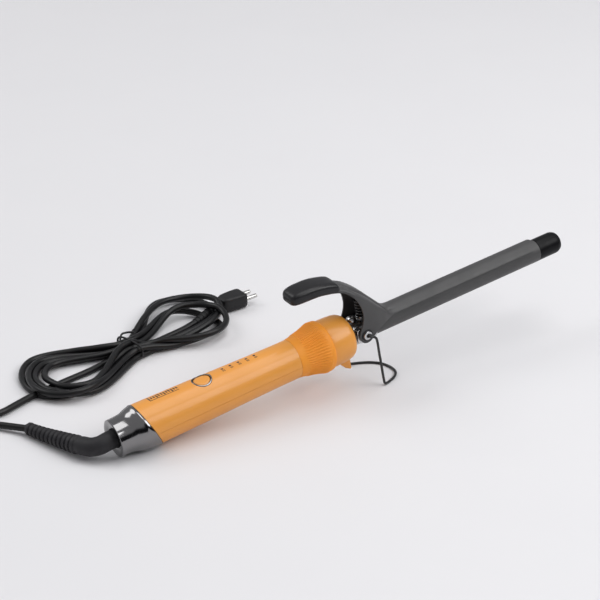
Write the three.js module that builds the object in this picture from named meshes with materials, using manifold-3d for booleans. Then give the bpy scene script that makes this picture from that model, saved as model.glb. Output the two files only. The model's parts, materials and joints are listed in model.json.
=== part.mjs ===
// Curling iron with a sprung clip, a folding wire stand, a swivel cord and a tied hank.
// Millimetres, +Z up. The iron is drawn along +X in its own frame and then tilted as it rests.
import * as THREE from 'three';
import { mergeVertices } from 'three/addons/utils/BufferGeometryUtils.js';
import Module from 'manifold-3d';

const wasm = await Module();
wasm.setup();

// ---- driving sizes --------------------------------------------------------
const TILT = 7.6 * Math.PI / 180;      // iron's slope when it rests on its wire stand
const FIT = 0.3;                       // clearance between pieces that only touch
const CAP_RIM_R = 12.6;                // rear rim radius
const BASE_Z = 12.92;                  // height of the axis where the rear rim ends
const HANDLE_R = 15.4;                 // handle radius at the rear
const HANDLE_FRONT_R = 13.5;           // handle radius where the collar starts
const HANDLE_WALL = 2;
const SEAM_X = 24.1;                   // slanted joint between cap and handle, on the axis
const SEAM_SLOPE = 0.3876;             // how far that joint leans per millimetre of height
const COLLAR_X = 134.9;                // rear edge of the ribbed collar
const COLLAR_R = 18;                   // widest radius of the collar
const COLLAR_RIBS = 54;
const RIB_DEPTH = 0.45;
const RING_X = 159.7;                  // rear edge of the front ring
const RING_FRONT_X = 178.5;
const RING_R = 16.7;
const BARREL_R = 8;                    // heated barrel, 16 mm across
const BARREL_WALL = 0.8;
const BARREL_X0 = 141;
const HEAT_X0 = 222;                   // heated length inside the barrel
const BARREL_X1 = 340.4;
const HEAT_X1 = BARREL_X1 - 12.4;
const TIP_LENGTH = 20.6;
const TIP_END_X = BARREL_X1 + TIP_LENGTH;
const TIP_R = 7.9;
const CLIP_WALL = 1;
const CLIP_X0 = 209;                   // start of the curved clip over the barrel
const CLIP_X1 = BARREL_X1 - 2.4;
const CHEEK_OUT = 12.2;                // outer face of the lever's cheeks
const PIVOT = [187.6, 1.5];            // lever and stand axis: along the iron, above its axis
const EYELET_R = 2.15;
const EYELET_BORE_R = 1.3;
const WIRE_R = 0.9;                    // stand wire, 1.8 mm thick
const STAND_HALF = 18.4;               // half width of the stand's foot
const STAND_FWD = 8.2;                 // foot corner ahead of the pivot
const FOOT_BOW = 21.3;                 // how far the foot bows toward the tip
const BUTTON_X = 67.5;
const BUTTON_R = 5.6;
const LED_X0 = 84;
const LED_STEP = 6.1;
const LED_COUNT = 5;
const LED_Y = 2;
const BOARD_TOP = 5.6;
const BOOT_R = 6.1;
const CORD_R = 2.3;                    // mains cord, 4.6 mm thick
const HANK_H = 13;                     // height of the tied hank

// ---- materials ------------------------------------------------------------
const paint = (color, roughness, metalness) =>
  new THREE.MeshStandardMaterial({ color, roughness, metalness });
const ORANGE = paint(0xf29a42, 0.3, 0);
const ORANGE_MATTE = paint(0xee9440, 0.6, 0);
const DARK_CHROME = paint(0x6f6f73, 0.15, 1);
const GREY_METAL = paint(0x4a4b4e, 0.4, 0.7);
const STEEL = paint(0xb9bbbe, 0.3, 1);
const BLACK_GLOSS = paint(0x101011, 0.2, 0);
const BLACK_MATTE = paint(0x1b1b1c, 0.6, 0);
const RUBBER = paint(0x2b2b2d, 0.7, 0);
const BLACK_WIRE = paint(0x141415, 0.35, 0.6);
const BOARD_GREEN = paint(0x1f6b43, 0.6, 0);
const CERAMIC = paint(0xd8d3c6, 0.7, 0);
const ALUMINIUM = paint(0xc4c6c9, 0.4, 1);
const LENS = paint(0x2a1512, 0.2, 0);
const BRASS = paint(0xc9a24c, 0.35, 1);

// ---- geometry helpers -----------------------------------------------------
// turns a closed skin the right way out
function faceOut(geometry) {
  const at = geometry.getAttribute('position');
  const index = Array.from(geometry.index.array);
  const [a, b, c] = [new THREE.Vector3(), new THREE.Vector3(), new THREE.Vector3()];
  let volume = 0;
  for (let i = 0; i < index.length; i += 3) {
    a.fromBufferAttribute(at, index[i]);
    b.fromBufferAttribute(at, index[i + 1]);
    c.fromBufferAttribute(at, index[i + 2]);
    volume += a.dot(b.cross(c));
  }
  if (volume < 0) geometry.setIndex(index.reverse());
  return geometry;
}

function toSolid(geometry) {
  const bare = new THREE.BufferGeometry();
  bare.setAttribute('position', geometry.getAttribute('position').clone());
  if (geometry.index) bare.setIndex(geometry.index.clone());
  const merged = mergeVertices(bare, 1e-4);
  const mesh = new wasm.Mesh({
    numProp: 3,
    vertProperties: new Float32Array(merged.getAttribute('position').array),
    triVerts: new Uint32Array(merged.index.array),
  });
  return new wasm.Manifold(mesh);
}

function toGeometry(solid) {
  const mesh = solid.getMesh();
  const geometry = new THREE.BufferGeometry();
  geometry.setAttribute('position', new THREE.Float32BufferAttribute(mesh.vertProperties, 3));
  geometry.setIndex(Array.from(mesh.triVerts));
  geometry.computeVertexNormals();
  return geometry;
}

// profile: [x along the axis, radius] pairs, first and last on the axis or a closed ring
function lathe(profile, segments = 48) {
  const points = profile.map(([x, r]) => new THREE.Vector2(Math.max(r, 0), x));
  const geometry = new THREE.LatheGeometry(points, segments);
  geometry.rotateZ(-Math.PI / 2);
  return faceOut(geometry);
}

// a ring-shaped wall between an outer and an inner profile
function shellOf(outer, inner, segments = 48) {
  const loop = [...outer, ...[...inner].reverse()];
  loop.push(outer[0]);
  return lathe(loop, segments);
}

function disc(x0, x1, radius, segments = 32) {
  return lathe([[x0, 0], [x0, radius], [x1, radius], [x1, 0]], segments);
}

function tubeWall(x0, x1, rOut, rIn, segments = 32) {
  return shellOf([[x0, rOut], [x1, rOut]], [[x0, rIn], [x1, rIn]], segments);
}

// outline in (x, z), pulled from y0 to y1
function slab(outline, y0, y1) {
  const shape = new THREE.Shape(outline.map(([x, z]) => new THREE.Vector2(x, z)));
  const geometry = new THREE.ExtrudeGeometry(shape, { depth: y1 - y0, bevelEnabled: false });
  geometry.rotateX(Math.PI / 2);
  geometry.translate(0, y1, 0);
  return geometry;
}

// outline in (x, y), pulled from z0 to z1
function plate(outline, z0, z1) {
  const shape = new THREE.Shape(outline.map(([x, y]) => new THREE.Vector2(x, y)));
  const geometry = new THREE.ExtrudeGeometry(shape, { depth: z1 - z0, bevelEnabled: false });
  geometry.translate(0, 0, z0);
  return geometry;
}

function circleOutline(cx, cy, radius, count) {
  const points = [];
  for (let i = 0; i < count; i += 1) {
    const angle = 2 * Math.PI * i / count;
    points.push([cx + radius * Math.cos(angle), cy + radius * Math.sin(angle)]);
  }
  return points;
}

function box(x0, x1, y0, y1, z0, z1) {
  const geometry = new THREE.BoxGeometry(x1 - x0, y1 - y0, z1 - z0);
  geometry.translate((x0 + x1) / 2, (y0 + y1) / 2, (z0 + z1) / 2);
  return geometry;
}

// upright round bar
function post(x, y, z0, z1, radius, segments = 24) {
  return plate(circleOutline(x, y, radius, segments), z0, z1);
}

// round bar along Y
function crossBar(x, z, y0, y1, radius, segments = 24) {
  return slab(circleOutline(x, z, radius, segments), y0, y1);
}

function tubeAlong(points, radius, sides, steps) {
  const curve = new THREE.CatmullRomCurve3(points.map((p) => new THREE.Vector3(...p)), false, 'centripetal');
  const shape = new THREE.Shape(circleOutline(0, 0, radius, sides).map(([x, y]) => new THREE.Vector2(x, y)));
  return new THREE.ExtrudeGeometry(shape, { steps, bevelEnabled: false, extrudePath: curve });
}

// closed skin through rows of points: rows x columns, columns wrap round, ends capped by a fan
function loft(rows) {
  const columns = rows[0].length;
  const positions = rows.flat(2);
  const index = [];
  for (let i = 0; i < rows.length - 1; i += 1) {
    for (let j = 0; j < columns; j += 1) {
      const a = i * columns + j;
      const b = i * columns + (j + 1) % columns;
      index.push(a, b, a + columns, b, b + columns, a + columns);
    }
  }
  const last = (rows.length - 1) * columns;
  for (let j = 1; j < columns - 1; j += 1) {
    index.push(0, j + 1, j);
    index.push(last, last + j, last + j + 1);
  }
  const geometry = new THREE.BufferGeometry();
  geometry.setAttribute('position', new THREE.Float32BufferAttribute(positions, 3));
  geometry.setIndex(index);
  return faceOut(geometry);
}

const cut = (body, ...tools) => tools.reduce((solid, tool) => solid.subtract(toSolid(tool)), toSolid(body));
const join = (body, ...others) => others.reduce((solid, other) => solid.add(toSolid(other)), toSolid(body));

const mix = (a, b, t) => a + (b - a) * t;

// straight-line lookup in a table of [x, value]
function along(table, x) {
  if (x <= table[0][0]) return table[0][1];
  for (let i = 1; i < table.length; i += 1) {
    if (x <= table[i][0]) {
      const t = (x - table[i - 1][0]) / (table[i][0] - table[i - 1][0]);
      return mix(table[i - 1][1], table[i][1], t);
    }
  }
  return table[table.length - 1][1];
}

// ---- assembly frame -------------------------------------------------------
const group = new THREE.Group();
group.name = 'curling_iron';
const iron = new THREE.Group();
iron.name = 'iron_frame';
iron.rotation.y = -TILT;
group.add(iron);

function add(parent, name, geometry, material) {
  const mesh = new THREE.Mesh(geometry, material);
  mesh.name = name;
  parent.add(mesh);
  return mesh;
}

// ---- handle ---------------------------------------------------------------
const HANDLE_OUTER = [
  [14, HANDLE_R], [24, HANDLE_R - 0.05], [45, HANDLE_R - 0.4], [70, HANDLE_R - 0.85],
  [100, HANDLE_R - 1.5], [120, HANDLE_FRONT_R + 0.1], [COLLAR_X - FIT, HANDLE_FRONT_R],
];
const handleRadius = (x) => along(HANDLE_OUTER, x);

function seamSlab(offset) {
  const reach = 30;
  const x = SEAM_X + offset;
  return slab([[-5, -reach], [x + SEAM_SLOPE * reach, -reach], [x - SEAM_SLOPE * reach, reach], [-5, reach]],
    -reach, reach);
}

function handleShells() {
  const inner = HANDLE_OUTER.map(([x, r]) => [x, r - HANDLE_WALL]);
  const whole = cut(shellOf(HANDLE_OUTER, inner, 48), seamSlab(FIT));
  const openings = [post(BUTTON_X, 0, 0, 30, 7.1, 32)];
  for (let i = 0; i < LED_COUNT; i += 1) openings.push(post(LED_X0 + i * LED_STEP, LED_Y, 0, 30, 1.25, 16));
  const top = openings.reduce((solid, tool) => solid.subtract(toSolid(tool)),
    whole.intersect(toSolid(box(0, 150, -30, 30, FIT / 2, 30))));
  const screws = [[46, 0], [118, 0]].map(([x, y]) => post(x, y, -30, 0, 2.3, 20));
  const bottom = screws.reduce((solid, tool) => solid.subtract(toSolid(tool)),
    whole.intersect(toSolid(box(0, 150, -30, 30, -30, -FIT / 2))));
  add(iron, 'handle_shell_upper', toGeometry(top), ORANGE);
  add(iron, 'handle_shell_lower', toGeometry(bottom), ORANGE);
  [46, 118].forEach((x, i) => {
    const r = handleRadius(x);
    const head = join(post(x, 0, -r + 1, -r + 2.6, 2, 20), post(x, 0, -r + 2.5, -1, 1.1, 16));
    add(iron, `shell_screw_${i + 1}`, toGeometry(head), STEEL);
    add(iron, `screw_boss_${i + 1}`, toGeometry(cut(post(x, 0, -r + 4, 0.2, 3.2, 24), post(x, 0, -30, 30, 1.4, 16))),
      ORANGE_MATTE);
  });
}

function rearCap() {
  const outer = [
    [0, CAP_RIM_R - 0.5], [0.6, CAP_RIM_R], [6, CAP_RIM_R + 0.1], [10.5, CAP_RIM_R + 0.6], [13.5, CAP_RIM_R + 1.7],
    [16.5, CAP_RIM_R + 2.6], [20, HANDLE_R + 0.1], [36, HANDLE_R + 0.1],
  ];
  const inner = [
    [0, CAP_RIM_R - 1.6], [1.4, CAP_RIM_R - 1.8], [1.4, BOOT_R + 0.7], [3.4, BOOT_R + 0.7], [3.4, CAP_RIM_R - 1.9],
    [10.5, CAP_RIM_R - 1.4], [16.5, CAP_RIM_R + 0.6], [36, HANDLE_R - HANDLE_WALL],
  ];
  const cap = toSolid(shellOf(outer, inner, 48)).intersect(toSolid(seamSlab(0)));
  add(iron, 'rear_cap', toGeometry(cap), DARK_CHROME);
}

function ribbedCollar() {
  const profile = [
    [COLLAR_X, 13.7], [COLLAR_X + 4, 14.3], [COLLAR_X + 10, 15.1], [COLLAR_X + 14.5, 16.2],
    [COLLAR_X + 19, 17.75], [COLLAR_X + 22, COLLAR_R], [COLLAR_X + 24, 17.8], [RING_X - FIT, 17.2],
  ];
  const segments = COLLAR_RIBS * 2;
  const rows = [];
  const ring = (x, radiusAt) => Array.from({ length: segments }, (_, j) => {
    const angle = 2 * Math.PI * j / segments;
    const r = radiusAt(j);
    return [x, r * Math.sin(angle), r * Math.cos(angle)];
  });
  profile.forEach(([x, r]) => {
    const ribbed = x > COLLAR_X + 8 && x < COLLAR_X + 23.5;
    rows.push(ring(x, (j) => r - (ribbed && j % 2 === 1 ? RIB_DEPTH : 0)));
  });
  const bore = HANDLE_FRONT_R - HANDLE_WALL;
  rows.push(ring(RING_X - FIT, () => bore));
  rows.push(ring(COLLAR_X, () => bore));
  rows.push(rows[0]);
  const collar = toSolid(wrapRows(rows));
  add(iron, 'ribbed_collar', toGeometry(collar), ORANGE_MATTE);
}

// rows that close on themselves: the last row repeats the first
function wrapRows(rows) {
  const count = rows.length - 1;
  const columns = rows[0].length;
  const index = [];
  for (let i = 0; i < count; i += 1) {
    for (let j = 0; j < columns; j += 1) {
      const a = i * columns + j;
      const b = i * columns + (j + 1) % columns;
      const c = ((i + 1) % count) * columns + j;
      const d = ((i + 1) % count) * columns + (j + 1) % columns;
      index.push(a, c, b, b, c, d);
    }
  }
  const geometry = new THREE.BufferGeometry();
  geometry.setAttribute('position', new THREE.Float32BufferAttribute(rows.slice(0, count).flat(2), 3));
  geometry.setIndex(index);
  return faceOut(geometry);
}

function frontRing() {
  const outer = [
    [RING_X, RING_R - 0.6], [RING_X + 0.8, RING_R - 0.1], [RING_X + 4, RING_R + 0.1], [RING_X + 9, RING_R],
    [RING_X + 12.5, RING_R - 0.3], [RING_X + 15.5, RING_R - 0.9], [RING_FRONT_X - 1.3, RING_R - 2],
    [RING_FRONT_X - 0.3, RING_R - 3.4], [RING_FRONT_X, RING_R - 4.6],
  ];
  const inner = [
    [RING_X, HANDLE_FRONT_R - HANDLE_WALL], [RING_X + 3, HANDLE_FRONT_R - HANDLE_WALL],
    [RING_X + 6, RING_R - 2.8], [RING_X + 13, RING_R - 3.2], [RING_FRONT_X - 2.6, RING_R - 4.6],
    [RING_FRONT_X - 2.2, BARREL_R + 0.8], [RING_FRONT_X, BARREL_R + 0.8],
  ];
  const lug = slab([[171.5, -14.6], [177.6, -13.4], [178.4, -24.6], [177.6, -25.4], [174.4, -23.2], [171, -19.5]],
    -2.4, 2.4);
  add(iron, 'front_ring', toGeometry(join(shellOf(outer, inner, 48), lug)), ORANGE);
}

// ---- barrel and heater ----------------------------------------------------
function barrel() {
  add(iron, 'barrel', tubeWall(BARREL_X0, BARREL_X1, BARREL_R, BARREL_R - BARREL_WALL, 48), GREY_METAL);
  const tip = [
    [BARREL_X1 - 7, 0], [BARREL_X1 - 7, BARREL_R - BARREL_WALL - FIT], [BARREL_X1 + FIT, BARREL_R - BARREL_WALL - FIT],
    [BARREL_X1 + FIT, TIP_R - 0.4], [BARREL_X1 + FIT + 0.5, TIP_R], [TIP_END_X - 4, TIP_R - 0.1],
    [TIP_END_X - 1.6, TIP_R - 1], [TIP_END_X - 0.4, TIP_R - 3.2], [TIP_END_X, 0],
  ];
  add(iron, 'cool_tip', lathe(tip, 40), BLACK_GLOSS);
  const spreader = (z0, z1) => toSolid(disc(HEAT_X0, HEAT_X1, BARREL_R - BARREL_WALL - FIT, 40))
    .intersect(toSolid(box(HEAT_X0 - 2, HEAT_X1 + 2, -9, 9, z0, z1)));
  add(iron, 'heat_spreader_upper', toGeometry(spreader(1.4, 9)), ALUMINIUM);
  add(iron, 'heat_spreader_lower', toGeometry(spreader(-9, -1.4)), ALUMINIUM);
  const pitch = (HEAT_X1 - HEAT_X0 - 7) / 3;
  for (let i = 0; i < 3; i += 1) {
    const x = HEAT_X0 + 6 + i * pitch;
    add(iron, `ptc_element_${i + 1}`, box(x, x + pitch - 6, -5, 5, -1.1, 1.1), CERAMIC);
  }
  add(iron, 'thermal_fuse', disc(203, 214, 1.6, 16), CERAMIC);
  add(iron, 'insulating_sleeve', tubeWall(163, 200, BARREL_R - BARREL_WALL - FIT, 6.1, 32), CERAMIC);
  const collarOut = BARREL_R + 3.2;
  add(iron, 'barrel_seat', tubeWall(144, 158.5, collarOut - 0.4, BARREL_R + FIT, 28), BLACK_MATTE);
}

// ---- clip lever -----------------------------------------------------------
const CREST = [
  [150, 47.2], [160, 46.6], [170, 44.4], [176.3, 42], [180.1, 39.8], [186, 35.4], [192, 29.8], [197, 24.2],
  [202, 18.6], [206, 14.2], [209, 11.6], [213, 10], [218, BARREL_R + FIT + CLIP_WALL],
];
const CREASE = [
  [150, 45.4], [160, 44.4], [170, 42.4], [176.3, 39.4], [180.1, 36.6], [186, 31], [192, 24.6], [197, 18.6],
  [202, 12.8], [206, 9.4], [209, 7.6], [213, 6.6], [218, 6],
];
const LEVER_HALF = [
  [150, 8.4], [170, 8.6], [176.3, 9.6], [182, CHEEK_OUT], [196, CHEEK_OUT], [203, 11], [209, 9.4], [213, 8.2],
  [218, 7.2],
];

// one cross-section of the lever: a crowned top, rounded corners and hanging cheeks
function leverSection(x, depth, wall, drop) {
  const half = along(LEVER_HALF, x) - wall;
  const crest = along(CREST, x) - depth;
  const crease = Math.min(along(CREASE, x) - depth * 0.8, crest - 0.3);
  const radius = BARREL_R + FIT + CLIP_WALL - wall;
  const blend = Math.min(Math.max((x - 206) / 12, 0), 1);
  const points = [];
  const spread = 57 * Math.PI / 180;
  const bottom = mix(crease - drop, radius * Math.cos(spread) - wall * 0.2, blend);
  for (let i = 0; i <= 12; i += 1) {
    const t = i / 6 - 1;
    const y = t * half;
    const arch = crease + (crest - crease) * Math.sqrt(Math.max(1 - Math.abs(t) ** 2.6, 0));
    const phi = t * spread;
    points.push([x, mix(y, radius * Math.sin(phi), blend), mix(arch, radius * Math.cos(phi), blend)]);
  }
  points.unshift([x, mix(-half, -radius * Math.sin(spread), blend), Math.min(bottom, points[0][2] - 0.05)]);
  points.push([x, -points[0][1], points[0][2]]);
  return points;
}

function leverShell() {
  const stations = [166, 174, 178, 182, 186, 190, 194, 198, 202, 205, 208, 210, 212, 214, 216, 218];
  for (let x = 228; x < CLIP_X1; x += 22) stations.push(x);
  stations.push(CLIP_X1 + 4);
  const slope = (x) => (along(CREST, x - 1) - along(CREST, x + 1)) / 2;
  const rows = stations.map((x) => {
    const depth = CLIP_WALL * Math.hypot(1, slope(x));
    const outside = leverSection(x, 0, 0, 50);
    const inside = leverSection(x, depth, CLIP_WALL, 50).reverse();
    inside[0][2] = outside[outside.length - 1][2];
    inside[inside.length - 1][2] = outside[0][2];
    return [...outside, ...inside];
  });
  return loft(rows);
}

function leverProfile() {
  const [px, pz] = PIVOT;
  const rear = [
    [170.8, 60], [170.8, 40], [174.5, 38.4], [177.8, 36], [181.4, 32.2], [184, 27.6], [185.8, 22.2], [186.4, 16.4],
    [185.4, 11], [183.2, 6],
  ];
  const lobe = [];
  for (let i = 0; i <= 10; i += 1) {
    const angle = Math.PI * (0.93 + i * 0.088);
    lobe.push([px + 5.8 * Math.cos(angle), pz + 5.8 * Math.sin(angle)]);
  }
  const front = [
    [198, 1.6], [205, 4], [212, 4.6], [CLIP_X1 - 8, 4.6], [CLIP_X1 - 4.5, 5.2], [CLIP_X1 - 1.6, 6.8],
    [CLIP_X1 - 0.2, 8.6], [CLIP_X1 + 0.2, 12],
    [CLIP_X1 + 0.2, 60],
  ];
  return slab([...rear, ...lobe, ...front], -20, 20);
}

function clipLever() {
  const lever = toSolid(leverShell())
    .intersect(toSolid(leverProfile()))
    .subtract(toSolid(crossBar(PIVOT[0], PIVOT[1], -20, 20, EYELET_R + FIT + 0.1)));
  add(iron, 'clip_lever', toGeometry(lever), GREY_METAL);
}

function thumbRest() {
  const spine = [
    [134.6, 46.5, 6.6, 3.2], [136.5, 47, 8.4, 4.4], [141, 46.9, 9.4, 5], [150, 46.7, 9.6, 5.1], [158, 45.8, 9.4, 5],
    [166, 43.8, 9.2, 4.9], [172, 41.2, 9.2, 4.8], [176.4, 38.9, 9, 4.4], [178.2, 37.6, 8.2, 3.6],
  ];
  const rows = spine.map(([x, z, half, rise]) => {
    const row = [];
    for (let i = 0; i < 20; i += 1) {
      const angle = 2 * Math.PI * i / 20;
      const cy = Math.sign(Math.cos(angle)) * Math.abs(Math.cos(angle)) ** 0.6;
      const cz = Math.sign(Math.sin(angle)) * Math.abs(Math.sin(angle)) ** 0.75;
      const lower = cz < 0 ? 0.75 : 1;
      row.push([x, half * cy, z + rise * cz * lower]);
    }
    return row;
  });
  const slot = slab([[169.8, 52], [169.8, 30], [190, 20], [190, 52]], -20, 20);
  const rest = toSolid(loft(rows));
  const clear = rest.subtract(toSolid(slot));
  add(iron, 'thumb_rest', toGeometry(clear), BLACK_MATTE);
}

function leverSpring() {
  const points = [];
  const turns = 5;
  const low = 11.2;
  const high = 22.6;
  for (let i = 0; i <= turns * 10; i += 1) {
    const angle = 2 * Math.PI * i / 10;
    points.push([190 + 3.4 * Math.cos(angle), 3.4 * Math.sin(angle), mix(low, high, i / (turns * 10))]);
  }
  add(iron, 'lever_spring', tubeAlong(points, 0.5, 6, turns * 12), STEEL);
}

// ---- pivot hardware -------------------------------------------------------
function pivotParts() {
  const [px, pz] = PIVOT;
  const earOut = CHEEK_OUT - CLIP_WALL - FIT;
  const ears = [];
  [-1, 1].forEach((side) => {
    const y0 = side > 0 ? earOut - 1.2 : -earOut;
    const outline = [
      [181, 5.5], [181, -3], [184, -4.2], [px, pz - 5.2], [191.5, -3.4], [193.4, 0], [193.4, 5.5],
    ];
    ears.push(slab(outline, y0, y0 + 1.2));
    const web0 = side > 0 ? 6 : -earOut;
    ears.push(box(181, 193.4, web0, web0 + earOut - 6, 5.4, 6.4));
  });
  const clamp = tubeWall(180.6, 198, BARREL_R + FIT + 1, BARREL_R + FIT - 0.02, 48);
  const seat = post(190, 0, 7, 10.6, 4.4, 24);
  const bracket = join(clamp, ...ears, seat)
    .subtract(toSolid(disc(170, 210, BARREL_R + FIT, 48)))
    .subtract(toSolid(crossBar(px, pz, -20, -8.6, EYELET_R + FIT)))
    .subtract(toSolid(crossBar(px, pz, 8.6, 20, EYELET_R + FIT)));
  add(iron, 'barrel_bracket', toGeometry(bracket), STEEL);
  [['near', -1], ['far', 1]].forEach(([name, side]) => {
    const flange0 = CHEEK_OUT + 1.1;
    const wall = [
      [8.9, EYELET_R], [flange0, EYELET_R], [flange0, 2.9], [flange0 + 0.6, 2.7], [flange0 + 0.6, EYELET_BORE_R],
      [8.9, EYELET_BORE_R], [8.9, EYELET_R],
    ];
    const eyelet = lathe(wall, 24);
    const washer = tubeWall(CHEEK_OUT + 0.3, CHEEK_OUT + 0.8, 4.3, EYELET_R + FIT, 24);
    [eyelet, washer].forEach((geometry) => {
      geometry.rotateZ(side * Math.PI / 2);
      geometry.translate(px, 0, pz);
    });
    add(iron, `pivot_eyelet_${name}`, eyelet, STEEL);
    add(iron, `pivot_washer_${name}`, washer, BLACK_MATTE);
  });
}

// ---- wire stand -----------------------------------------------------------
const PIVOT_WORLD = [
  PIVOT[0] * Math.cos(TILT) - PIVOT[1] * Math.sin(TILT),
  PIVOT[0] * Math.sin(TILT) + PIVOT[1] * Math.cos(TILT) + BASE_Z,
];

function wireStand() {
  const drop = WIRE_R + 0.05 - PIVOT_WORLD[1];
  const out = CHEEK_OUT + 2.7;
  const leg = (t) => out + 1 + (STAND_HALF - out - 1) * t;
  const side = [
    [0, CHEEK_OUT - 2.2, 0], [0, CHEEK_OUT + 0.2, 0], [0.3, out, -0.1], [2.4, out + 0.7, -0.6],
    [4.6, out + 0.9, -2], [5.5, leg(0), -5], [6.1, leg(0.24), -13], [6.9, leg(0.56), -23],
    [7.7, leg(0.88), drop + 4.6], [8.1, STAND_HALF, drop + 1.3], [9.6, STAND_HALF - 0.4, drop + 0.22],
  ];
  const bow = [];
  for (let i = 1; i < 12; i += 1) {
    const u = 1 - i / 6;
    const x = STAND_FWD + FOOT_BOW * (0.45 * (1 - u * u) + 0.55 * (1 - u ** 4));
    if (Math.abs(u) < 0.9) bow.push([x, u * STAND_HALF, drop]);
  }
  const mirror = [...side].reverse().map(([x, y, z]) => [x, -y, z]);
  const geometry = tubeAlong([...side, ...bow, ...mirror], WIRE_R, 8, 84);
  const mesh = add(group, 'wire_stand', geometry, BLACK_WIRE);
  mesh.position.set(PIVOT_WORLD[0], 0, PIVOT_WORLD[1]);
}

// ---- electronics ----------------------------------------------------------
function electronics() {
  const top = handleRadius(BUTTON_X);
  const bezel = lathe([
    [8.6, 6.8], [top + 0.3, 6.8], [top + 0.6, 6.5], [top + 0.5, BUTTON_R + FIT], [8.6, BUTTON_R + FIT], [8.6, 6.8],
  ], 32);
  const button = lathe([
    [9.9, 0], [9.9, BUTTON_R - 1], [11, BUTTON_R], [top + 0.3, BUTTON_R], [top + 0.7, BUTTON_R - 0.6],
    [top + 0.9, 0],
  ], 32);
  [bezel, button].forEach((geometry) => {
    geometry.rotateY(-Math.PI / 2);
    geometry.translate(BUTTON_X, 0, 0);
  });
  add(iron, 'button_bezel', bezel, DARK_CHROME);
  add(iron, 'power_button', button, ORANGE);
  for (let i = 0; i < LED_COUNT; i += 1) {
    const x = LED_X0 + i * LED_STEP;
    const r = handleRadius(x);
    add(iron, `indicator_${i + 1}`, post(x, LED_Y, BOARD_TOP + 3, Math.sqrt(r * r - LED_Y * LED_Y) + 0.05, 0.95, 14), LENS);
  }
  const board = [[42, -9.5], [52, -9.5], [112, -9], [112, 9], [42, 9.5]];
  const notched = cut(plate(board, BOARD_TOP - 1.6, BOARD_TOP), post(46, 0, 0, 9, 3.6, 20));
  add(iron, 'circuit_board', toGeometry(notched), BOARD_GREEN);
  const tact = join(box(BUTTON_X - 3, BUTTON_X + 3, -3, 3, BOARD_TOP + 0.1, BOARD_TOP + 2.6),
    post(BUTTON_X, 0, BOARD_TOP + 2.5, BOARD_TOP + 3.2, 1.6, 16));
  add(iron, 'tact_switch', toGeometry(tact), BLACK_MATTE);
  add(iron, 'capacitor', crossBar(56, BOARD_TOP - 1.9 - 4, -6, 6, 3.9, 24), BRASS);
  add(iron, 'triac', box(76, 86, -2.2, 2.2, -10, BOARD_TOP - 1.9), BLACK_MATTE);
  add(iron, 'relay_block', box(92, 106, -6, 6, -5, BOARD_TOP - 1.9), BLACK_MATTE);
  const wireZ = -1;
  [-1, 1].forEach((side) => {
    const path = [[113, side * 4, wireZ], [130, side * 4, wireZ], [150, side * 3, 0], [175, side * 2.6, 0],
      [201, side * 3.2, 0], [219, side * 4, 0]];
    add(iron, `heater_lead_${side < 0 ? 'near' : 'far'}`, tubeAlong(path, 0.8, 6, 14), CERAMIC);
  });
}

// ---- swivel and boot ------------------------------------------------------
const toWorld = (x, y, z) => [
  x * Math.cos(TILT) - z * Math.sin(TILT), y, x * Math.sin(TILT) + z * Math.cos(TILT) + BASE_Z,
];

function swivel() {
  add(iron, 'swivel_core', lathe([
    [3.9, 0], [3.9, 9.6], [6.6, 9.6], [6.6, 4.2], [16, 4.2], [16, 0],
  ], 28), BLACK_MATTE);
  const holder = shellOf([[17, 12.2], [22, 12.2]], [[17, 8], [22, 8]], 28);
  add(iron, 'swivel_holder', holder, BLACK_MATTE);
  const contacts = shellOf([[8, 5.6], [14.5, 5.6]], [[8, 4.6], [14.5, 4.6]], 24);
  add(iron, 'contact_sleeve', contacts, BRASS);
  const stations = bootStations();
  const curve = new THREE.CatmullRomCurve3(stations.map((s) => new THREE.Vector3(...s.at)), false, 'centripetal');
  const rows = [];
  const steps = 36;
  const frames = curve.computeFrenetFrames(steps, false);
  for (let i = 0; i <= steps; i += 1) {
    const t = i / steps;
    const centre = curve.getPointAt(t);
    const radius = bootRadius(t);
    const row = [];
    for (let j = 0; j < 14; j += 1) {
      const angle = 2 * Math.PI * j / 14;
      const p = centre.clone()
        .addScaledVector(frames.normals[i], radius * Math.cos(angle))
        .addScaledVector(frames.binormals[i], radius * Math.sin(angle));
      row.push([p.x, p.y, p.z]);
    }
    rows.push(row);
  }
  add(group, 'cord_boot', toGeometry(toSolid(loft(rows))), RUBBER);
}

function bootStations() {
  return [
    { at: toWorld(3.5, 0, 0) }, { at: toWorld(0, 0, 0) }, { at: toWorld(-4, 0, 0) }, { at: [-8.9, 0.4, 11] },
    { at: [-13.4, 3.4, 9.6] }, { at: [-17, 9.4, 8.7] }, { at: [-20.2, 17, 7.7] }, { at: [-24.6, 28, 6.6] },
    { at: [-29.2, 39.4, 5.6] }, { at: [-34, 52, 4.9] },
  ];
}

function bootRadius(t) {
  const base = along([[0, BOOT_R], [0.42, BOOT_R], [0.5, 5.8], [1, 3.9]], t);
  const ribbed = t > 0.46 && t < 0.97;
  return base - (ribbed && Math.round(t * 36) % 2 === 0 ? 0.9 : 0);
}

// ---- cord, hank and plug --------------------------------------------------
const PLUG_LENGTH = 19;
const LEAD = [
  [-34.2, 52.7, 4.8], [-40.5, 60.5, 4.2], [-47.5, 69, 3.6], [-57, 77.5, 3.2], [-70, 84, 2.8], [-86, 87, 2.7],
  [-101, 94, 2.7], [-110, 108, 2.7], [-106, 124, 2.7], [-92, 132, 2.7], [-77, 128, 2.7], [-68, 116, 2.7],
  [-63, 103, 2.7], [-57, 92.5, 2.7], [-49.5, 85.8, 2.7], [-40, 84.3, 2.7], [-27, 88.4, 2.7], [-15.5, 92.4, 2.7],
];
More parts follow.
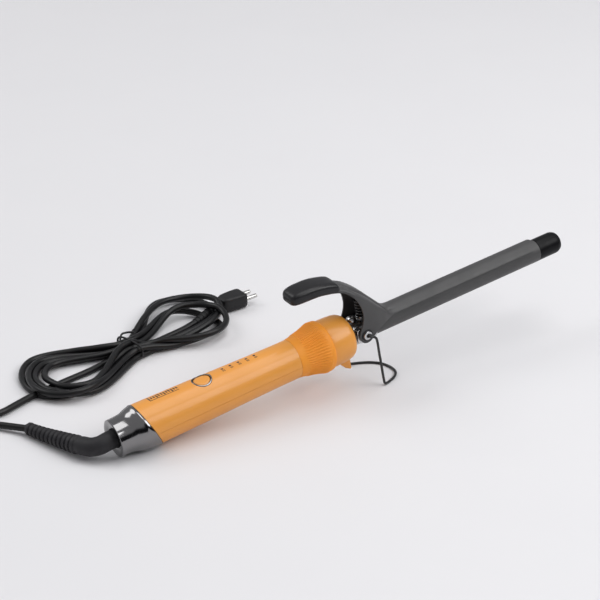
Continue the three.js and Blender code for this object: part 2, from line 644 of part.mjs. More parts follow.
// outline of the tied hank, seen from above
const HANK = [
  [-12, 100], [-11.5, 86], [-7, 76], [2, 71.5], [14, 71.5], [120, 88.5], [136, 92], [147, 101], [154, 114],
  [157, 128], [157, 148], [154, 162], [146, 168.5], [136, 171.5], [122, 169], [34, 149], [16, 142], [0, 131],
  [-8, 117],
];

function cordParts() {
  add(group, 'cord_lead', tubeAlong(LEAD, CORD_R, 8, 54), BLACK_MATTE);
  add(group, 'cord_hank', plate(HANK, 0.3, HANK_H), BLACK_MATTE);
  const plug = new THREE.Group();
  plug.name = 'plug_frame';
  plug.position.set(158.6, 134.8, 0);
  plug.rotation.z = 6 * Math.PI / 180;
  group.add(plug);
  const body = [
    [0, -5.5], [3, -6.8], [17.5, -7.2], [PLUG_LENGTH, -6.4], [PLUG_LENGTH, 6.4], [17.5, 7.2], [3, 6.8], [0, 5.5],
  ];
  add(plug, 'plug_body', plate(body, 0.4, 12), BLACK_MATTE);
  [-1, 1].forEach((side) => {
    const pin = crossBarX(PLUG_LENGTH + FIT, PLUG_LENGTH + 10, side * 4, 6.2, 1.6);
    add(plug, `plug_pin_${side < 0 ? 'near' : 'far'}`, pin, STEEL);
  });
}

function crossBarX(x0, x1, y, z, radius) {
  const geometry = disc(x0, x1, radius, 16);
  geometry.translate(0, y, z);
  return geometry;
}

// ---- build ----------------------------------------------------------------
handleShells();
rearCap();
ribbedCollar();
frontRing();
barrel();
clipLever();
thumbRest();
leverSpring();
pivotParts();
wireStand();
electronics();
swivel();
cordParts();

iron.position.set(0, 0, BASE_Z);
const ORIGIN = [160.22, 17];        // middle of the iron's own extent, without the cord
group.position.set(-ORIGIN[0], -ORIGIN[1], 0);
group.updateMatrixWorld(true);

export default group;
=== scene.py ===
"""A slim curling iron: tapered handle, ribbed collar, sprung clip, wire stand, boot, tied cord and plug."""
import json
from math import atan2, ceil, copysign, cos, exp, hypot, pi, radians, sin, sqrt, tanh

import bmesh
import bpy
import numpy as np
from mathutils import Matrix, Vector


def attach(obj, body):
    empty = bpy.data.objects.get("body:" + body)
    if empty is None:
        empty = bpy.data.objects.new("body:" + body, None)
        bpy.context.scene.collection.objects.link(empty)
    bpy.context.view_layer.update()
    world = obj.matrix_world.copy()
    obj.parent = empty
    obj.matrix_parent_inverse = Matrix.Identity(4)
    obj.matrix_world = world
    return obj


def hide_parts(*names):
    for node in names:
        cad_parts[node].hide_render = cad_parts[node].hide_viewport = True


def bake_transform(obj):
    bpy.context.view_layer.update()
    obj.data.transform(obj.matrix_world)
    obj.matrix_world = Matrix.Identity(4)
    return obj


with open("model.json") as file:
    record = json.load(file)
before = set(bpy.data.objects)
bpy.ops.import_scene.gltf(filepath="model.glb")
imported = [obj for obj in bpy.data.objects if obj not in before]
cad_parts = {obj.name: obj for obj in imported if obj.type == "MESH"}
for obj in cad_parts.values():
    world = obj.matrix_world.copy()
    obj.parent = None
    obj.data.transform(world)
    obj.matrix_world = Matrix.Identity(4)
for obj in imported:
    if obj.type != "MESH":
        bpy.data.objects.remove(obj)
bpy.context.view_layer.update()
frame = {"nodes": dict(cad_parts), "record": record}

scene = bpy.context.scene

# ---- sizes, in millimetres ----
MM = 0.001
TILT = radians(7.6)
BASE_Z = 12.92
ORIGIN = (160.22, 17.0)
FIT = 0.3
CAP_RIM_R = 12.6
HANDLE_R = 15.4
HANDLE_FRONT_R = 13.5
HANDLE_WALL = 2.0
PARTING = 0.18
SEAM_X = 24.1
SEAM_SLOPE = 0.3876
COLLAR_X = 134.9
COLLAR_RIBS = 54
RIB_RISE = 0.6
RING_X = 159.7
RING_FRONT_X = 178.5
RING_R = 16.7
BARREL_R = 8.0
BARREL_WALL = 0.8
BARREL_X1 = 340.4
TIP_END_X = 361.0
TIP_R = 7.9
CLIP_WALL = 1.0
CLIP_X1 = 338.0
CHEEK_OUT = 12.2
CHEEK_DROP = 50
PIVOT = (187.6, 1.5)
LOBE_R = 5.8
EYELET_R = 2.15
EYELET_BORE_R = 1.3
WIRE_R = 0.9
STAND_HALF = 18.4
STAND_FWD = 8.2
FOOT_BOW = 19.8
BUTTON_X = 67.5
BUTTON_R = 5.6
LED_X0 = 84.0
LED_STEP = 6.1
LED_COUNT = 5
LED_Y = 2.0
INK_RISE = 0.05
BUTTON_HOLE_R = 6.75
SHELL_SCREWS_X = (46, 118)
SCREW_HOLE_R = 2.3
BOOT_R = 6.1
CORD_R = 2.3
PLUG_Z = 6.2
PIN_R = 1.6
PIN_ASIDE = 4
SPRING_X = 192
SPRING_R = 3.4
SEAT_Z = 9.2

TABLE = Matrix.Translation((-ORIGIN[0] * MM, -ORIGIN[1] * MM, 0)) @ Matrix.Scale(MM, 4)
IRON = TABLE @ Matrix.Translation((0, 0, BASE_Z)) @ Matrix.Rotation(-TILT, 4, "Y")
PLUG = TABLE @ Matrix.Translation((158.6, 134.8, 0)) @ Matrix.Rotation(radians(6), 4, "Z")


def mix(a, b, t):
    """The value a share t of the way from a to b."""
    return a + (b - a) * t


def ease(t):
    """A share from 0 to 1 that starts and stops softly."""
    t = min(max(t, 0.0), 1.0)
    return t * t * (3 - 2 * t)


def along(table, x):
    """The height of a table of (x, height) rows at x."""
    return float(np.interp(x, [row[0] for row in table], [row[1] for row in table]))


# ---- camera ----
def make_camera():
    """A long lens from the front left and above."""
    camera = bpy.data.objects.new("camera", bpy.data.cameras.new("camera"))
    scene.collection.objects.link(camera)
    place = Vector((-0.5850, -0.8992, 0.6075))
    target = Vector((-0.0200, -0.0170, 0.0728))
    camera.location = place
    camera.rotation_euler = (target - place).to_track_quat("-Z", "Y").to_euler()
    camera.data.lens = 108
    camera.data.sensor_width = 36
    camera.data.clip_end = 50
    scene.camera = camera


make_camera()


# ---- finishes ----
class Finish:
    """A material whose colour, sheen and surface grain come from its own nodes."""

    def __init__(self, name, colour, roughness, metallic=0.0, coat=0.0, specular=0.5):
        self.material = bpy.data.materials.new(name)
        self.material.use_nodes = True
        self.tree = self.material.node_tree
        self.shader = self.tree.nodes["Principled BSDF"]
        self.shader.inputs["Base Color"].default_value = (*colour, 1)
        self.shader.inputs["Roughness"].default_value = roughness
        self.shader.inputs["Metallic"].default_value = metallic
        self.shader.inputs["Coat Weight"].default_value = coat
        self.shader.inputs["Coat Roughness"].default_value = 0.06
        self.shader.inputs["Specular IOR Level"].default_value = specular
        self.name = name
        self.colour = colour
        self.object_space = self.add("TexCoord").outputs["Object"]
        self.height = None

    def add(self, kind, **settings):
        node = self.tree.nodes.new("ShaderNode" + kind)
        for key, value in settings.items():
            setattr(node, key, value)
        return node

    def feed(self, socket, value):
        if isinstance(value, bpy.types.NodeSocket):
            self.tree.links.new(value, socket)
        else:
            socket.default_value = value

    def noise(self, scale, detail=3.0, stretch=None):
        """Cloudy values from 0 to 1 over the piece."""
        node = self.add("TexNoise")
        source = self.object_space
        if stretch:
            mapping = self.add("Mapping")
            mapping.inputs["Scale"].default_value = stretch
            self.feed(mapping.inputs["Vector"], source)
            source = mapping.outputs["Vector"]
        self.feed(node.inputs["Vector"], source)
        node.inputs["Scale"].default_value = scale
        node.inputs["Detail"].default_value = detail
        return node.outputs["Fac"]

    def span(self, value, low, high, from_low=0.3, from_high=0.7):
        """The same value, stretched to run from low to high."""
        node = self.add("MapRange")
        self.feed(node.inputs["Value"], value)
        for key, number in (("From Min", from_low), ("From Max", from_high), ("To Min", low), ("To Max", high)):
            node.inputs[key].default_value = number
        return node.outputs["Result"]

    def paint(self, share, other):
        """Lays another colour over what is there, as far as the share says."""
        blend = self.add("Mix", data_type="RGBA")
        self.feed(blend.inputs["Factor"], share)
        base = self.shader.inputs["Base Color"]
        if base.is_linked:
            self.feed(blend.inputs["A"], base.links[0].from_socket)
        else:
            blend.inputs["A"].default_value = (*self.colour, 1)
        blend.inputs["B"].default_value = (*other, 1)
        self.feed(base, blend.outputs["Result"])
        return self

    def mottle(self, other, scale, detail=3.0, stretch=None, low=0.3, high=0.7):
        """Colour drifts between the base colour and another one."""
        return self.paint(self.span(self.noise(scale, detail, stretch), 0, 1, low, high), other)

    def smudge(self, low, high, scale, detail=4.0, stretch=None):
        """Roughness drifts between two values."""
        self.feed(self.shader.inputs["Roughness"], self.span(self.noise(scale, detail, stretch), low, high))
        return self

    def grain(self, scale, depth, detail=2.0, stretch=None):
        """Fine relief, depth in millimetres."""
        bump = self.add("Bump")
        bump.inputs["Strength"].default_value = 1.0
        bump.inputs["Distance"].default_value = depth * MM
        self.feed(bump.inputs["Height"], self.noise(scale, detail, stretch))
        if self.height is not None:
            self.feed(bump.inputs["Normal"], self.height)
        self.height = bump.outputs["Normal"]
        self.feed(self.shader.inputs["Normal"], self.height)
        return self

    def specks(self, other, scale, size):
        """Small flecks of another colour."""
        cells = self.add("TexVoronoi")
        self.feed(cells.inputs["Vector"], self.object_space)
        cells.inputs["Scale"].default_value = scale
        return self.paint(self.span(cells.outputs["Distance"], 1, 0, size * 0.6, size), other)


def make_finishes():
    """One finish for each material slot in the record, with a darker steel that paints the shade the clip spring sits
    in, and printing ink besides.
    """
    made = [
        Finish("orange_gloss", (0.82, 0.345, 0.055), 0.44, coat=0.25)
        .mottle((0.79, 0.32, 0.048), 22).smudge(0.38, 0.50, 60).grain(1400, 0.006),
        Finish("orange_satin", (0.93, 0.335, 0.022), 0.6)
        .mottle((0.88, 0.30, 0.018), 40).smudge(0.5, 0.62, 90).grain(2200, 0.02),
        Finish("dark_chrome", (0.27, 0.265, 0.265), 0.13, metallic=1.0)
        .mottle((0.235, 0.232, 0.235), 30).smudge(0.11, 0.17, 80, 5).grain(900, 0.002),
        # A darker copy of steel: painted shade for the clip spring, which sits in shadow under the lever.
        Finish("shade_painted_steel", (0.10, 0.10, 0.10), 0.28, metallic=1.0)
        .mottle((0.07, 0.07, 0.07), 200).smudge(0.22, 0.36, 240).grain(1500, 0.006),
        Finish("steel", (0.62, 0.62, 0.62), 0.2, metallic=1.0)
        .mottle((0.50, 0.50, 0.51), 240, 4).smudge(0.14, 0.3, 300).grain(1500, 0.006),
        Finish("barrel_coating", (0.056, 0.055, 0.056), 0.46, specular=0.4)
        .mottle((0.066, 0.065, 0.066), 35, 4).smudge(0.40, 0.54, 120, 5).grain(2600, 0.018, 3)
        .specks((0.085, 0.084, 0.084), 1500, 0.16),
        Finish("tip_black", (0.004, 0.004, 0.005), 0.36, specular=0.12)
        .mottle((0.007, 0.007, 0.008), 90).smudge(0.3, 0.42, 160).grain(1800, 0.008),
        Finish("aluminium", (0.60, 0.61, 0.62), 0.35, metallic=1.0)
        .mottle((0.52, 0.53, 0.54), 120, 4, (0.1, 1, 1)).smudge(0.3, 0.45, 500, 3, (0.1, 1, 1))
        .grain(900, 0.02, 3, (0.1, 1, 1)),
        Finish("ceramic", (0.66, 0.63, 0.56), 0.7)
        .mottle((0.58, 0.55, 0.48), 150, 4).specks((0.4, 0.37, 0.31), 900, 0.16).grain(1800, 0.03, 3),
        Finish("matte_black", (0.009, 0.0085, 0.010), 0.34, specular=0.36)
        .mottle((0.013, 0.0125, 0.014), 60).smudge(0.30, 0.42, 140).grain(2400, 0.014),
        Finish("black_wire", (0.010, 0.010, 0.011), 0.38)
        .mottle((0.016, 0.016, 0.017), 180, 4).smudge(0.3, 0.48, 260).grain(1600, 0.012, 3),
        Finish("lens", (0.035, 0.012, 0.010), 0.22, coat=0.4)
        .mottle((0.05, 0.016, 0.012), 500, 2).smudge(0.18, 0.3, 500).grain(2500, 0.004),
        Finish("board", (0.02, 0.16, 0.06), 0.5)
        .mottle((0.04, 0.27, 0.11), 260, 1, (1, 3, 1), 0.48, 0.52).grain(1200, 0.02),
        Finish("copper_film", (0.42, 0.22, 0.05), 0.3, coat=0.3)
        .mottle((0.34, 0.17, 0.04), 160).grain(900, 0.02),
        Finish("lead_sleeve", (0.62, 0.60, 0.52), 0.8)
        .mottle((0.5, 0.48, 0.42), 600, 2, (1, 4, 4)).grain(1500, 0.08, 2, (1, 3, 3)),
        Finish("brass", (0.62, 0.44, 0.16), 0.3, metallic=1.0)
        .mottle((0.5, 0.34, 0.12), 120, 4).smudge(0.24, 0.42, 240).grain(1200, 0.008),
        Finish("rubber", (0.013, 0.0125, 0.0145), 0.52, specular=0.36)
        .mottle((0.022, 0.021, 0.024), 70, 4).smudge(0.5, 0.68, 120).grain(2200, 0.03, 3),
        Finish("cord", (0.0035, 0.0035, 0.004), 0.34, specular=0.32)
        .mottle((0.006, 0.006, 0.0065), 90).smudge(0.30, 0.42, 160).grain(1500, 0.02),
        Finish("plug_black", (0.008, 0.008, 0.009), 0.46, specular=0.34)
        .mottle((0.012, 0.012, 0.013), 80).smudge(0.4, 0.55, 160).grain(2000, 0.03, 3),
        Finish("plug_pin", (0.66, 0.65, 0.63), 0.16, metallic=1.0)
        .mottle((0.56, 0.55, 0.53), 300).smudge(0.12, 0.24, 400).grain(1500, 0.004),
        Finish("print_ink", (0.022, 0.018, 0.016), 0.5)
        .mottle((0.035, 0.028, 0.024), 900).grain(2500, 0.004),
    ]
    return {finish.name: finish.material for finish in made}


FINISH = make_finishes()


# ---- making pieces ----
def catmull(points, step):
    """Even points along a smooth line through the given ones."""
    pts = np.array(points, float)
    pts = np.vstack([2 * pts[0] - pts[1], pts, 2 * pts[-1] - pts[-2]])
    line = []
    for a, b, c, d in zip(pts, pts[1:], pts[2:], pts[3:]):
        tb = np.linalg.norm(b - a) ** 0.5
        tc = tb + np.linalg.norm(c - b) ** 0.5
        td = tc + np.linalg.norm(d - c) ** 0.5
        for t in np.linspace(tb, tc, max(4, int(np.linalg.norm(c - b) / step * 4)), endpoint=False):
            a1 = (tb - t) / tb * a + t / tb * b
            a2 = (tc - t) / (tc - tb) * b + (t - tb) / (tc - tb) * c
            a3 = (td - t) / (td - tc) * c + (t - tc) / (td - tc) * d
            b1 = (tc - t) / tc * a1 + t / tc * a2
            b2 = (td - t) / (td - tb) * a2 + (t - tb) / (td - tb) * a3
            line.append((tc - t) / (tc - tb) * b1 + (t - tb) / (tc - tb) * b2)
    line.append(pts[-2])
    return even(np.array(line), step)


def running(line):
    """How far along a line each of its points lies."""
    return np.concatenate([[0], np.cumsum(np.linalg.norm(np.diff(line, axis=0), axis=1))])


def even(line, step):
    """The same line with its points a step apart."""
    run = running(line)
    marks = np.linspace(0, run[-1], int(round(run[-1] / step)) + 1)
    return np.stack([np.interp(marks, run, line[:, k]) for k in range(line.shape[1])], 1)


def eased(profile, step):
    """A flowing version of an (x, radius) profile."""
    return [tuple(p) for p in catmull(profile, step)]


def rounded(profile, radius, arcs=4):
    """The same outline with its corners turned into small arcs."""
    out = [profile[0]]
    for before, corner, after in zip(profile, profile[1:], profile[2:]):
        back = Vector(before) - Vector(corner)
        ahead = Vector(after) - Vector(corner)
        if back.length < 1e-6 or ahead.length < 1e-6 or back.angle(ahead) > radians(165):
            out.append(corner)
            continue
        reach = min(radius, back.length * 0.45, ahead.length * 0.45)
        start = Vector(corner) + back.normalized() * reach
        end = Vector(corner) + ahead.normalized() * reach
        for i in range(arcs + 1):
            t = i / arcs
            out.append(tuple(start * (1 - t) ** 2 + Vector(corner) * 2 * t * (1 - t) + end * t * t))
    out.append(profile[-1])
    return out


def facing_out(bm):
    """Turns every face outwards."""
    bmesh.ops.recalc_face_normals(bm, faces=bm.faces)
    return bm


def turned(profile, steps=96, closed=False):
    """A profile of (x, radius) spun about the X axis."""
    bm = bmesh.new()
    ring = [bm.verts.new((x, 0, max(r, 0))) for x, r in profile]
    pairs = list(zip(ring, ring[1:]))
    if closed:
        pairs.append((ring[-1], ring[0]))
    edges = [bm.edges.new(pair) for pair in pairs]
    bmesh.ops.spin(bm, geom=ring + edges, cent=(0, 0, 0), axis=(1, 0, 0), angle=2 * pi, steps=steps,
                   use_merge=True)
    bmesh.ops.remove_doubles(bm, verts=bm.verts, dist=1e-4)
    return facing_out(bm)


def slab(outline, low, high, plane="xz"):
    """A flat outline pulled into a plate, along Y for an xz outline and along Z for an xy one."""
    bm = bmesh.new()
    upright = plane == "xz"
    corners = [bm.verts.new((a, low, b) if upright else (a, b, low)) for a, b in outline]
    face = bm.faces.new(corners)
    pulled = bmesh.ops.extrude_face_region(bm, geom=[face])
    moved = [v for v in pulled["geom"] if isinstance(v, bmesh.types.BMVert)]
    depth = (0, high - low, 0) if upright else (0, 0, high - low)
    bmesh.ops.translate(bm, verts=moved, vec=depth)
    return facing_out(bm)


def soften(bm, offset, segments=3, angle=30):
    """Rounds every edge sharper than the angle."""
    sharp = [e for e in bm.edges if len(e.link_faces) == 2 and e.calc_face_angle(0) > radians(angle)]
    bmesh.ops.bevel(bm, geom=sharp, offset=offset, segments=segments, profile=0.5, affect="EDGES", material=-1,
                    clamp_overlap=True)
    return bm


def circle(cx, cy, radius, count):
    turns = [2 * pi * i / count for i in range(count)]
    return [(cx + radius * cos(a), cy + radius * sin(a)) for a in turns]


def squared(value, power):
    """A sine or cosine pushed outwards, which turns a circle towards a box."""
    return copysign(abs(value) ** power, value)


def box_ring(x, z, half, rise, side_power, top_power, count, under=1.0):
    """A ring of points round the X axis, between an ellipse and a box."""
    ring = []
    for c, s in circle(0, 0, 1, count):
        height = rise * squared(s, top_power) * (under if s < 0 else 1)
        ring.append((x, half * squared(c, side_power), z + height))
    return ring


def upright(bm, x, y=0.0, z=0.0):
    """Stands a shape that was turned about X on end, and moves it."""
    bmesh.ops.rotate(bm, verts=bm.verts, cent=(0, 0, 0), matrix=Matrix.Rotation(-pi / 2, 3, "Y"))
    bmesh.ops.translate(bm, verts=bm.verts, vec=(x, y, z))
    return bm


def sliced(bm, point, normal, **clear):
    """Slices a mesh along a plane, and drops the side that clear names."""
    bmesh.ops.bisect_plane(bm, geom=bm.verts[:] + bm.edges[:] + bm.faces[:], plane_co=point, plane_no=normal,
                           **clear)
    return bm


def joined(bm, *others):
    """Adds other meshes to this one, as they are."""
    for other in others:
        mesh = bpy.data.meshes.new("work")
        other.to_mesh(mesh)
        other.free()
        bm.from_mesh(mesh)
        bpy.data.meshes.remove(mesh)
    return bm


def carved(bm, tool, operation="DIFFERENCE"):
    """Cuts a mesh with a tool mesh, or keeps what they share."""
    work = []
    for part in (bm, tool):
        mesh = bpy.data.meshes.new("work")
        part.to_mesh(mesh)
        part.free()
        work.append(bpy.data.objects.new("work", mesh))
        scene.collection.objects.link(work[-1])
    cut = work[0].modifiers.new("cut", "BOOLEAN")
    cut.object = work[1]
    cut.operation = operation
    cut.solver = "EXACT"
    result = bmesh.new()
    result.from_object(work[0], bpy.context.evaluated_depsgraph_get())
    for obj in work:
        mesh = obj.data
        bpy.data.objects.remove(obj)
        bpy.data.meshes.remove(mesh)
    bmesh.ops.remove_doubles(result, verts=result.verts, dist=1e-4)
    return result


def lofted(rows):
    """A closed skin over rings of points, each bridged to the next, with flat ends."""
    bm = bmesh.new()
    loops = []
    for row in rows:
        ring = [bm.verts.new(p) for p in row]
        loops.append([bm.edges.new(pair) for pair in zip(ring, ring[1:] + ring[:1])])
    for a, b in zip(loops, loops[1:]):
        bmesh.ops.bridge_loops(bm, edges=a + b)
    bmesh.ops.holes_fill(bm, edges=loops[0] + loops[-1], sides=0)
    return facing_out(bm)


def piece(name, bm, slot, replaces=(), body="handle", place=IRON, sharp=38, edge=0.0, segments=2, finish=None):
    """Puts a mesh drawn in millimetres in its place and rides it on its body."""
    bmesh.ops.transform(bm, matrix=place, verts=bm.verts)
    mesh = bpy.data.meshes.new(name)
    bm.to_mesh(mesh)
    bm.free()
    mesh.materials.append(FINISH[finish or slot])
    mesh.shade_smooth()
    mesh.set_sharp_from_angle(angle=radians(sharp))
    obj = bpy.data.objects.new(name, mesh)
    scene.collection.objects.link(obj)
    if edge:
        bevel = obj.modifiers.new("edge", "BEVEL")
        bevel.width = edge * MM
        bevel.segments = segments
        bevel.limit_method = "ANGLE"
        bevel.angle_limit = radians(sharp)
        bevel.harden_normals = True
    if body:
        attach(obj, body)
    if replaces:
        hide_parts(*replaces)
    return obj


def tube(name, line, radius, body, slot, place=TABLE, replaces=(), sides=12, finish=None):
    """A round bar along a line of points, made by Blender's own curve bevel."""
    data = bpy.data.curves.new(name, "CURVE")
    data.dimensions = "3D"
    data.bevel_depth = radius
    data.bevel_resolution = sides // 4
    data.use_fill_caps = True
    data.twist_mode = "MINIMUM"
    spline = data.splines.new("POLY")
    spline.points.add(len(line) - 1)
    for i, point in enumerate(line):
        spline.points[i].co = (*point, 1)
    maker = bpy.data.objects.new(name + "_line", data)
    scene.collection.objects.link(maker)
    bpy.context.view_layer.update()
    mesh = bpy.data.meshes.new_from_object(maker.evaluated_get(bpy.context.evaluated_depsgraph_get()))
    bm = bmesh.new()
    bm.from_mesh(mesh)
    bpy.data.meshes.remove(mesh)
    bpy.data.objects.remove(maker)
    bpy.data.curves.remove(data)
    bmesh.ops.remove_doubles(bm, verts=bm.verts, dist=1e-5)
    facing_out(bm)
    return piece(name, bm, slot, replaces, body, place, finish=finish)


# ---- cord ----
# The uncoiled stretch, in metres, from the boot to the hank.
LEAD = [
    (-0.19442, 0.0357, 0.0048), (-0.20072, 0.0435, 0.0042), (-0.20772, 0.0520, 0.0036),
    (-0.21722, 0.0605, 0.0032), (-0.23022, 0.0670, 0.0028), (-0.24622, 0.0700, 0.0027),
    (-0.26122, 0.0770, 0.0027), (-0.27022, 0.0910, 0.0027), (-0.26622, 0.1070, 0.0027),
    (-0.25222, 0.1150, 0.0027), (-0.23722, 0.1110, 0.0027), (-0.22822, 0.0990, 0.0027),
    (-0.22322, 0.0860, 0.0027), (-0.21722, 0.0755, 0.0027), (-0.20972, 0.0688, 0.0027),
    (-0.20022, 0.0673, 0.0027), (-0.18722, 0.0714, 0.0027), (-0.17572, 0.0754, 0.0027),
]
# The same cord goes on under the turns to the tie, and from the tie to the plug, in millimetres on the table.
UNDER = [(-4, 95.6, 2.4), (14, 99.5, 2.4), (34, 103.5, 2.4), (54, 108.6, 2.4)]
TAIL = [
    (88, 115.2, 2.6), (104, 118.5, 2.5), (120, 122, 2.8), (132, 125.5, 3.8), (143, 129.8, 5), (152, 133.4, 5.9),
    (160, 135, 6.2),
]
TIE = (72.0, 113.0)
HANK_LEAN = radians(14)
TIE_REACH = 14
FALL = 0.25
STILL_ROUNDS = 60
CORD_STEP = 4
PITCH = 2 * CORD_R + 0.05
# Each loop of the hank: lean in degrees, reach, half widths behind and before, height it is laid from.
RIGHT_LOOPS = [(27, 86, 30, 26, 13), (21, 89, 29, 25, 18), (8, 74, 24, 21, 23), (8, 78, 27, 26, 28)]
LEFT_LOOPS = [(14, 77, 32, 24, 9), (14, 83, 35, 28, 14), (11, 83, 40, 25, 8), (15, 70, 24, 20, 9)]
# Where each pass lies in the tie: pitches from the middle, and layer.
NEAR_PASSES = [(1, 0), (2, 0), (1.5, 1), (0.5, 1), (0, 2)]
FAR_PASSES = [(1, 0), (2, 0), (1.5, 1), (0.5, 1)]


def hank_turns():
    """The turns of the hank, worked out loop by loop, before they settle."""
    count = len(RIGHT_LOOPS)
    marks = [k - 0.25 for k in range(count + 1)] + [k + 0.25 for k in range(count)]
    passes = NEAR_PASSES + FAR_PASSES
    order = np.argsort(marks)
    at = [marks[k] for k in order]
    aside = [passes[k][0] * PITCH for k in order]
    height = [CORD_R + 0.1 + passes[k][1] * PITCH * 0.87 for k in order]
    right = np.array(RIGHT_LOOPS, float)
    left = np.array(LEFT_LOOPS, float)
    points = []
    for angle in np.linspace(-pi / 2, 2 * pi * count - pi / 2, 1200 * count):
        t = angle / (2 * pi)
        c, s = cos(angle), sin(angle)
        r = [np.interp(t, np.arange(count), right[:, k]) for k in range(5)]
        g = [np.interp(t, np.arange(count) + 0.5, left[:, k]) for k in range(5)]
        reach, behind, before, drop = (r if c > 0 else g)[1:]
        width = mix(before, behind, ease(0.5 + 0.5 * s))
        q = abs(c) ** (0.5 * (behind + before) / (0.85 * reach))
        lean = radians(mix(g[0], r[0], 0.5 + 0.5 * tanh(2.2 * copysign(q, c))))
        spread = ease(q / 0.8)
        v = s * mix(np.interp(t, at, aside), width, spread)
        u = copysign(reach * q, c)
        z = mix(np.interp(t, at, height), drop, spread)
        points.append((TIE[0] + u * cos(lean) - v * sin(lean),
                       TIE[1] + u * sin(lean) + v * cos(lean), z))
    return np.array(points)


def settle(line, radius, held, rounds=260):
    """Lets the turns fall until they rest on the table and on each other."""
    shift = np.zeros_like(line)
    free = ~held
    first, second = np.triu_indices(len(line), 6)
    need = radius[first] + radius[second]
    loose = free.astype(float)
    share = np.maximum(loose[first] + loose[second], 1)
    for turn in range(rounds):
        if turn < rounds - STILL_ROUNDS:
            shift[free, 2] -= FALL
        for _ in range(2):
            middle = (shift[:-2] + shift[2:]) / 2
            inner = free[1:-1]
            shift[1:-1][inner] = 0.5 * shift[1:-1][inner] + 0.5 * middle[inner]
        for _ in range(3):
            now = line + shift
            gap = now[first] - now[second]
            far = np.sqrt((gap * gap).sum(1))
            hit = np.nonzero(far < need)[0]
            if len(hit):
                a, b = first[hit], second[hit]
                push = gap[hit] / np.maximum(far[hit], 1e-6)[:, None] * (need[hit] - far[hit])[:, None]
                total, count = np.zeros_like(shift), np.zeros(len(line))
                np.add.at(total, a, push * (loose[a] / share[hit])[:, None])
                np.add.at(total, b, -push * (loose[b] / share[hit])[:, None])
                np.add.at(count, a, 1)
                np.add.at(count, b, 1)
                shift += total / np.maximum(count, 1)[:, None]
            low = radius - (line + shift)[:, 2]
            shift[:, 2] += np.where(free, np.maximum(low, 0), 0)
    return line + shift


def cord_line():
    """The whole cord's centre line, in millimetres on the table."""
    back = TABLE.inverted()
    lead = [tuple(back @ Vector(p)) for p in LEAD]
    turns = hank_turns()
    start = catmull(lead + UNDER + [tuple(turns[0])], CORD_STEP)
    end = catmull([tuple(turns[-1])] + TAIL, CORD_STEP)
    line = even(np.vstack([start[:-1], turns[:-1], end]), CORD_STEP)
    run = running(line)
    before = running(start)[-1]
    after = run[-1] - running(end)[-1]
    away = line[:, :2] - np.array(TIE)
    cross = np.abs(away @ np.array([cos(HANK_LEAN), sin(HANK_LEAN)])) < 3.5
    held = (np.hypot(away[:, 0], away[:, 1]) < TIE_REACH) & cross
    held |= (run < before - 5) | (run > after + 2)
    # The plug's strain relief is thicker than the cord.
    radius = np.full(len(line), CORD_R)
    radius += np.clip((run - run[-1] + 34) / 30, 0, 1) * 1.3
    rested = settle(line, radius, held)
    rested[:, 2] = np.maximum(rested[:, 2], CORD_R + 0.05)
    return rested


CORD_LINE = cord_line()
fine_cord = catmull([tuple(p) for p in CORD_LINE], 2.6)
cord = tube("mains_cord", fine_cord, CORD_R, None, "cord", replaces=("cord_lead", "cord_hank"), sides=16)


# ---- tie ----
def hank_tie():
    """A thin twisted wire tie round the middle of the hank, with its two curled ends."""
    along_hank = np.array([cos(HANK_LEAN), sin(HANK_LEAN), 0])
    across = np.array([-sin(HANK_LEAN), cos(HANK_LEAN), 0])
    base = np.array([TIE[0], TIE[1], 0])
    wire = 0.75
    half, top = 2.5 * PITCH + 0.7, 11.6
    loop = []
    for i in range(41):
        a = 2 * pi * i / 40
        c, s = cos(a), sin(a)
        w = half * squared(c, 0.55)
        h = (top + wire) / 2 + (top - wire) / 2 * squared(s, 0.6)
        loop.append(base + across * w + np.array([0, 0, h]) + along_hank * (2.2 * (i / 40 - 0.5)))
    curl = [loop[-1] + along_hank * 3 + across * 1.5 + np.array([0, 0, 3.4])]
    for i in range(1, 9):
        a = i * 0.75
        curl.append(curl[0] + along_hank * (1.6 * i + 2.2 * sin(a)) + across * (2.6 * cos(a) - 2.6)
                    + np.array([0, 0, 0.5 * sin(a * 0.7)]))
    line = catmull([tuple(p) for p in loop + curl], 0.9)
    return tube("hank_tie", line, wire, "handle", "matte_black", sides=8)


tie = hank_tie()


# ---- plug ----
def plug_body():
    """A flat two-pin plug with a waisted grip, and its round pins."""
    stations = [
        (-1.2, 4.2, 4.2), (0, 5.2, 5.0), (2.2, 6.0, 5.5), (6, 6.5, 5.7), (12, 6.9, 5.7), (16.5, 7.0, 5.6),
        (18, 6.8, 5.4), (18.8, 6.3, 4.9),
    ]
    body = lofted([box_ring(x, PLUG_Z, half, rise, 0.32, 0.42, 48) for x, half, rise in stations])
    obj = piece("plug_shell", body, "plug_black", ("plug_body",), place=PLUG, sharp=50)
    pins = []
    for side, name in ((-1, "near"), (1, "far")):
        profile = rounded([(18, 0), (18, PIN_R), (28.4, PIN_R), (29, PIN_R - 0.7), (29, 0)], 0.6)
        pin = turned(profile, 32)
        bmesh.ops.translate(pin, verts=pin.verts, vec=(0, side * PIN_ASIDE, PLUG_Z))
        pins.append(piece("pin_" + name, pin, "plug_pin", ("plug_pin_" + name,), place=PLUG))
    return obj, pins


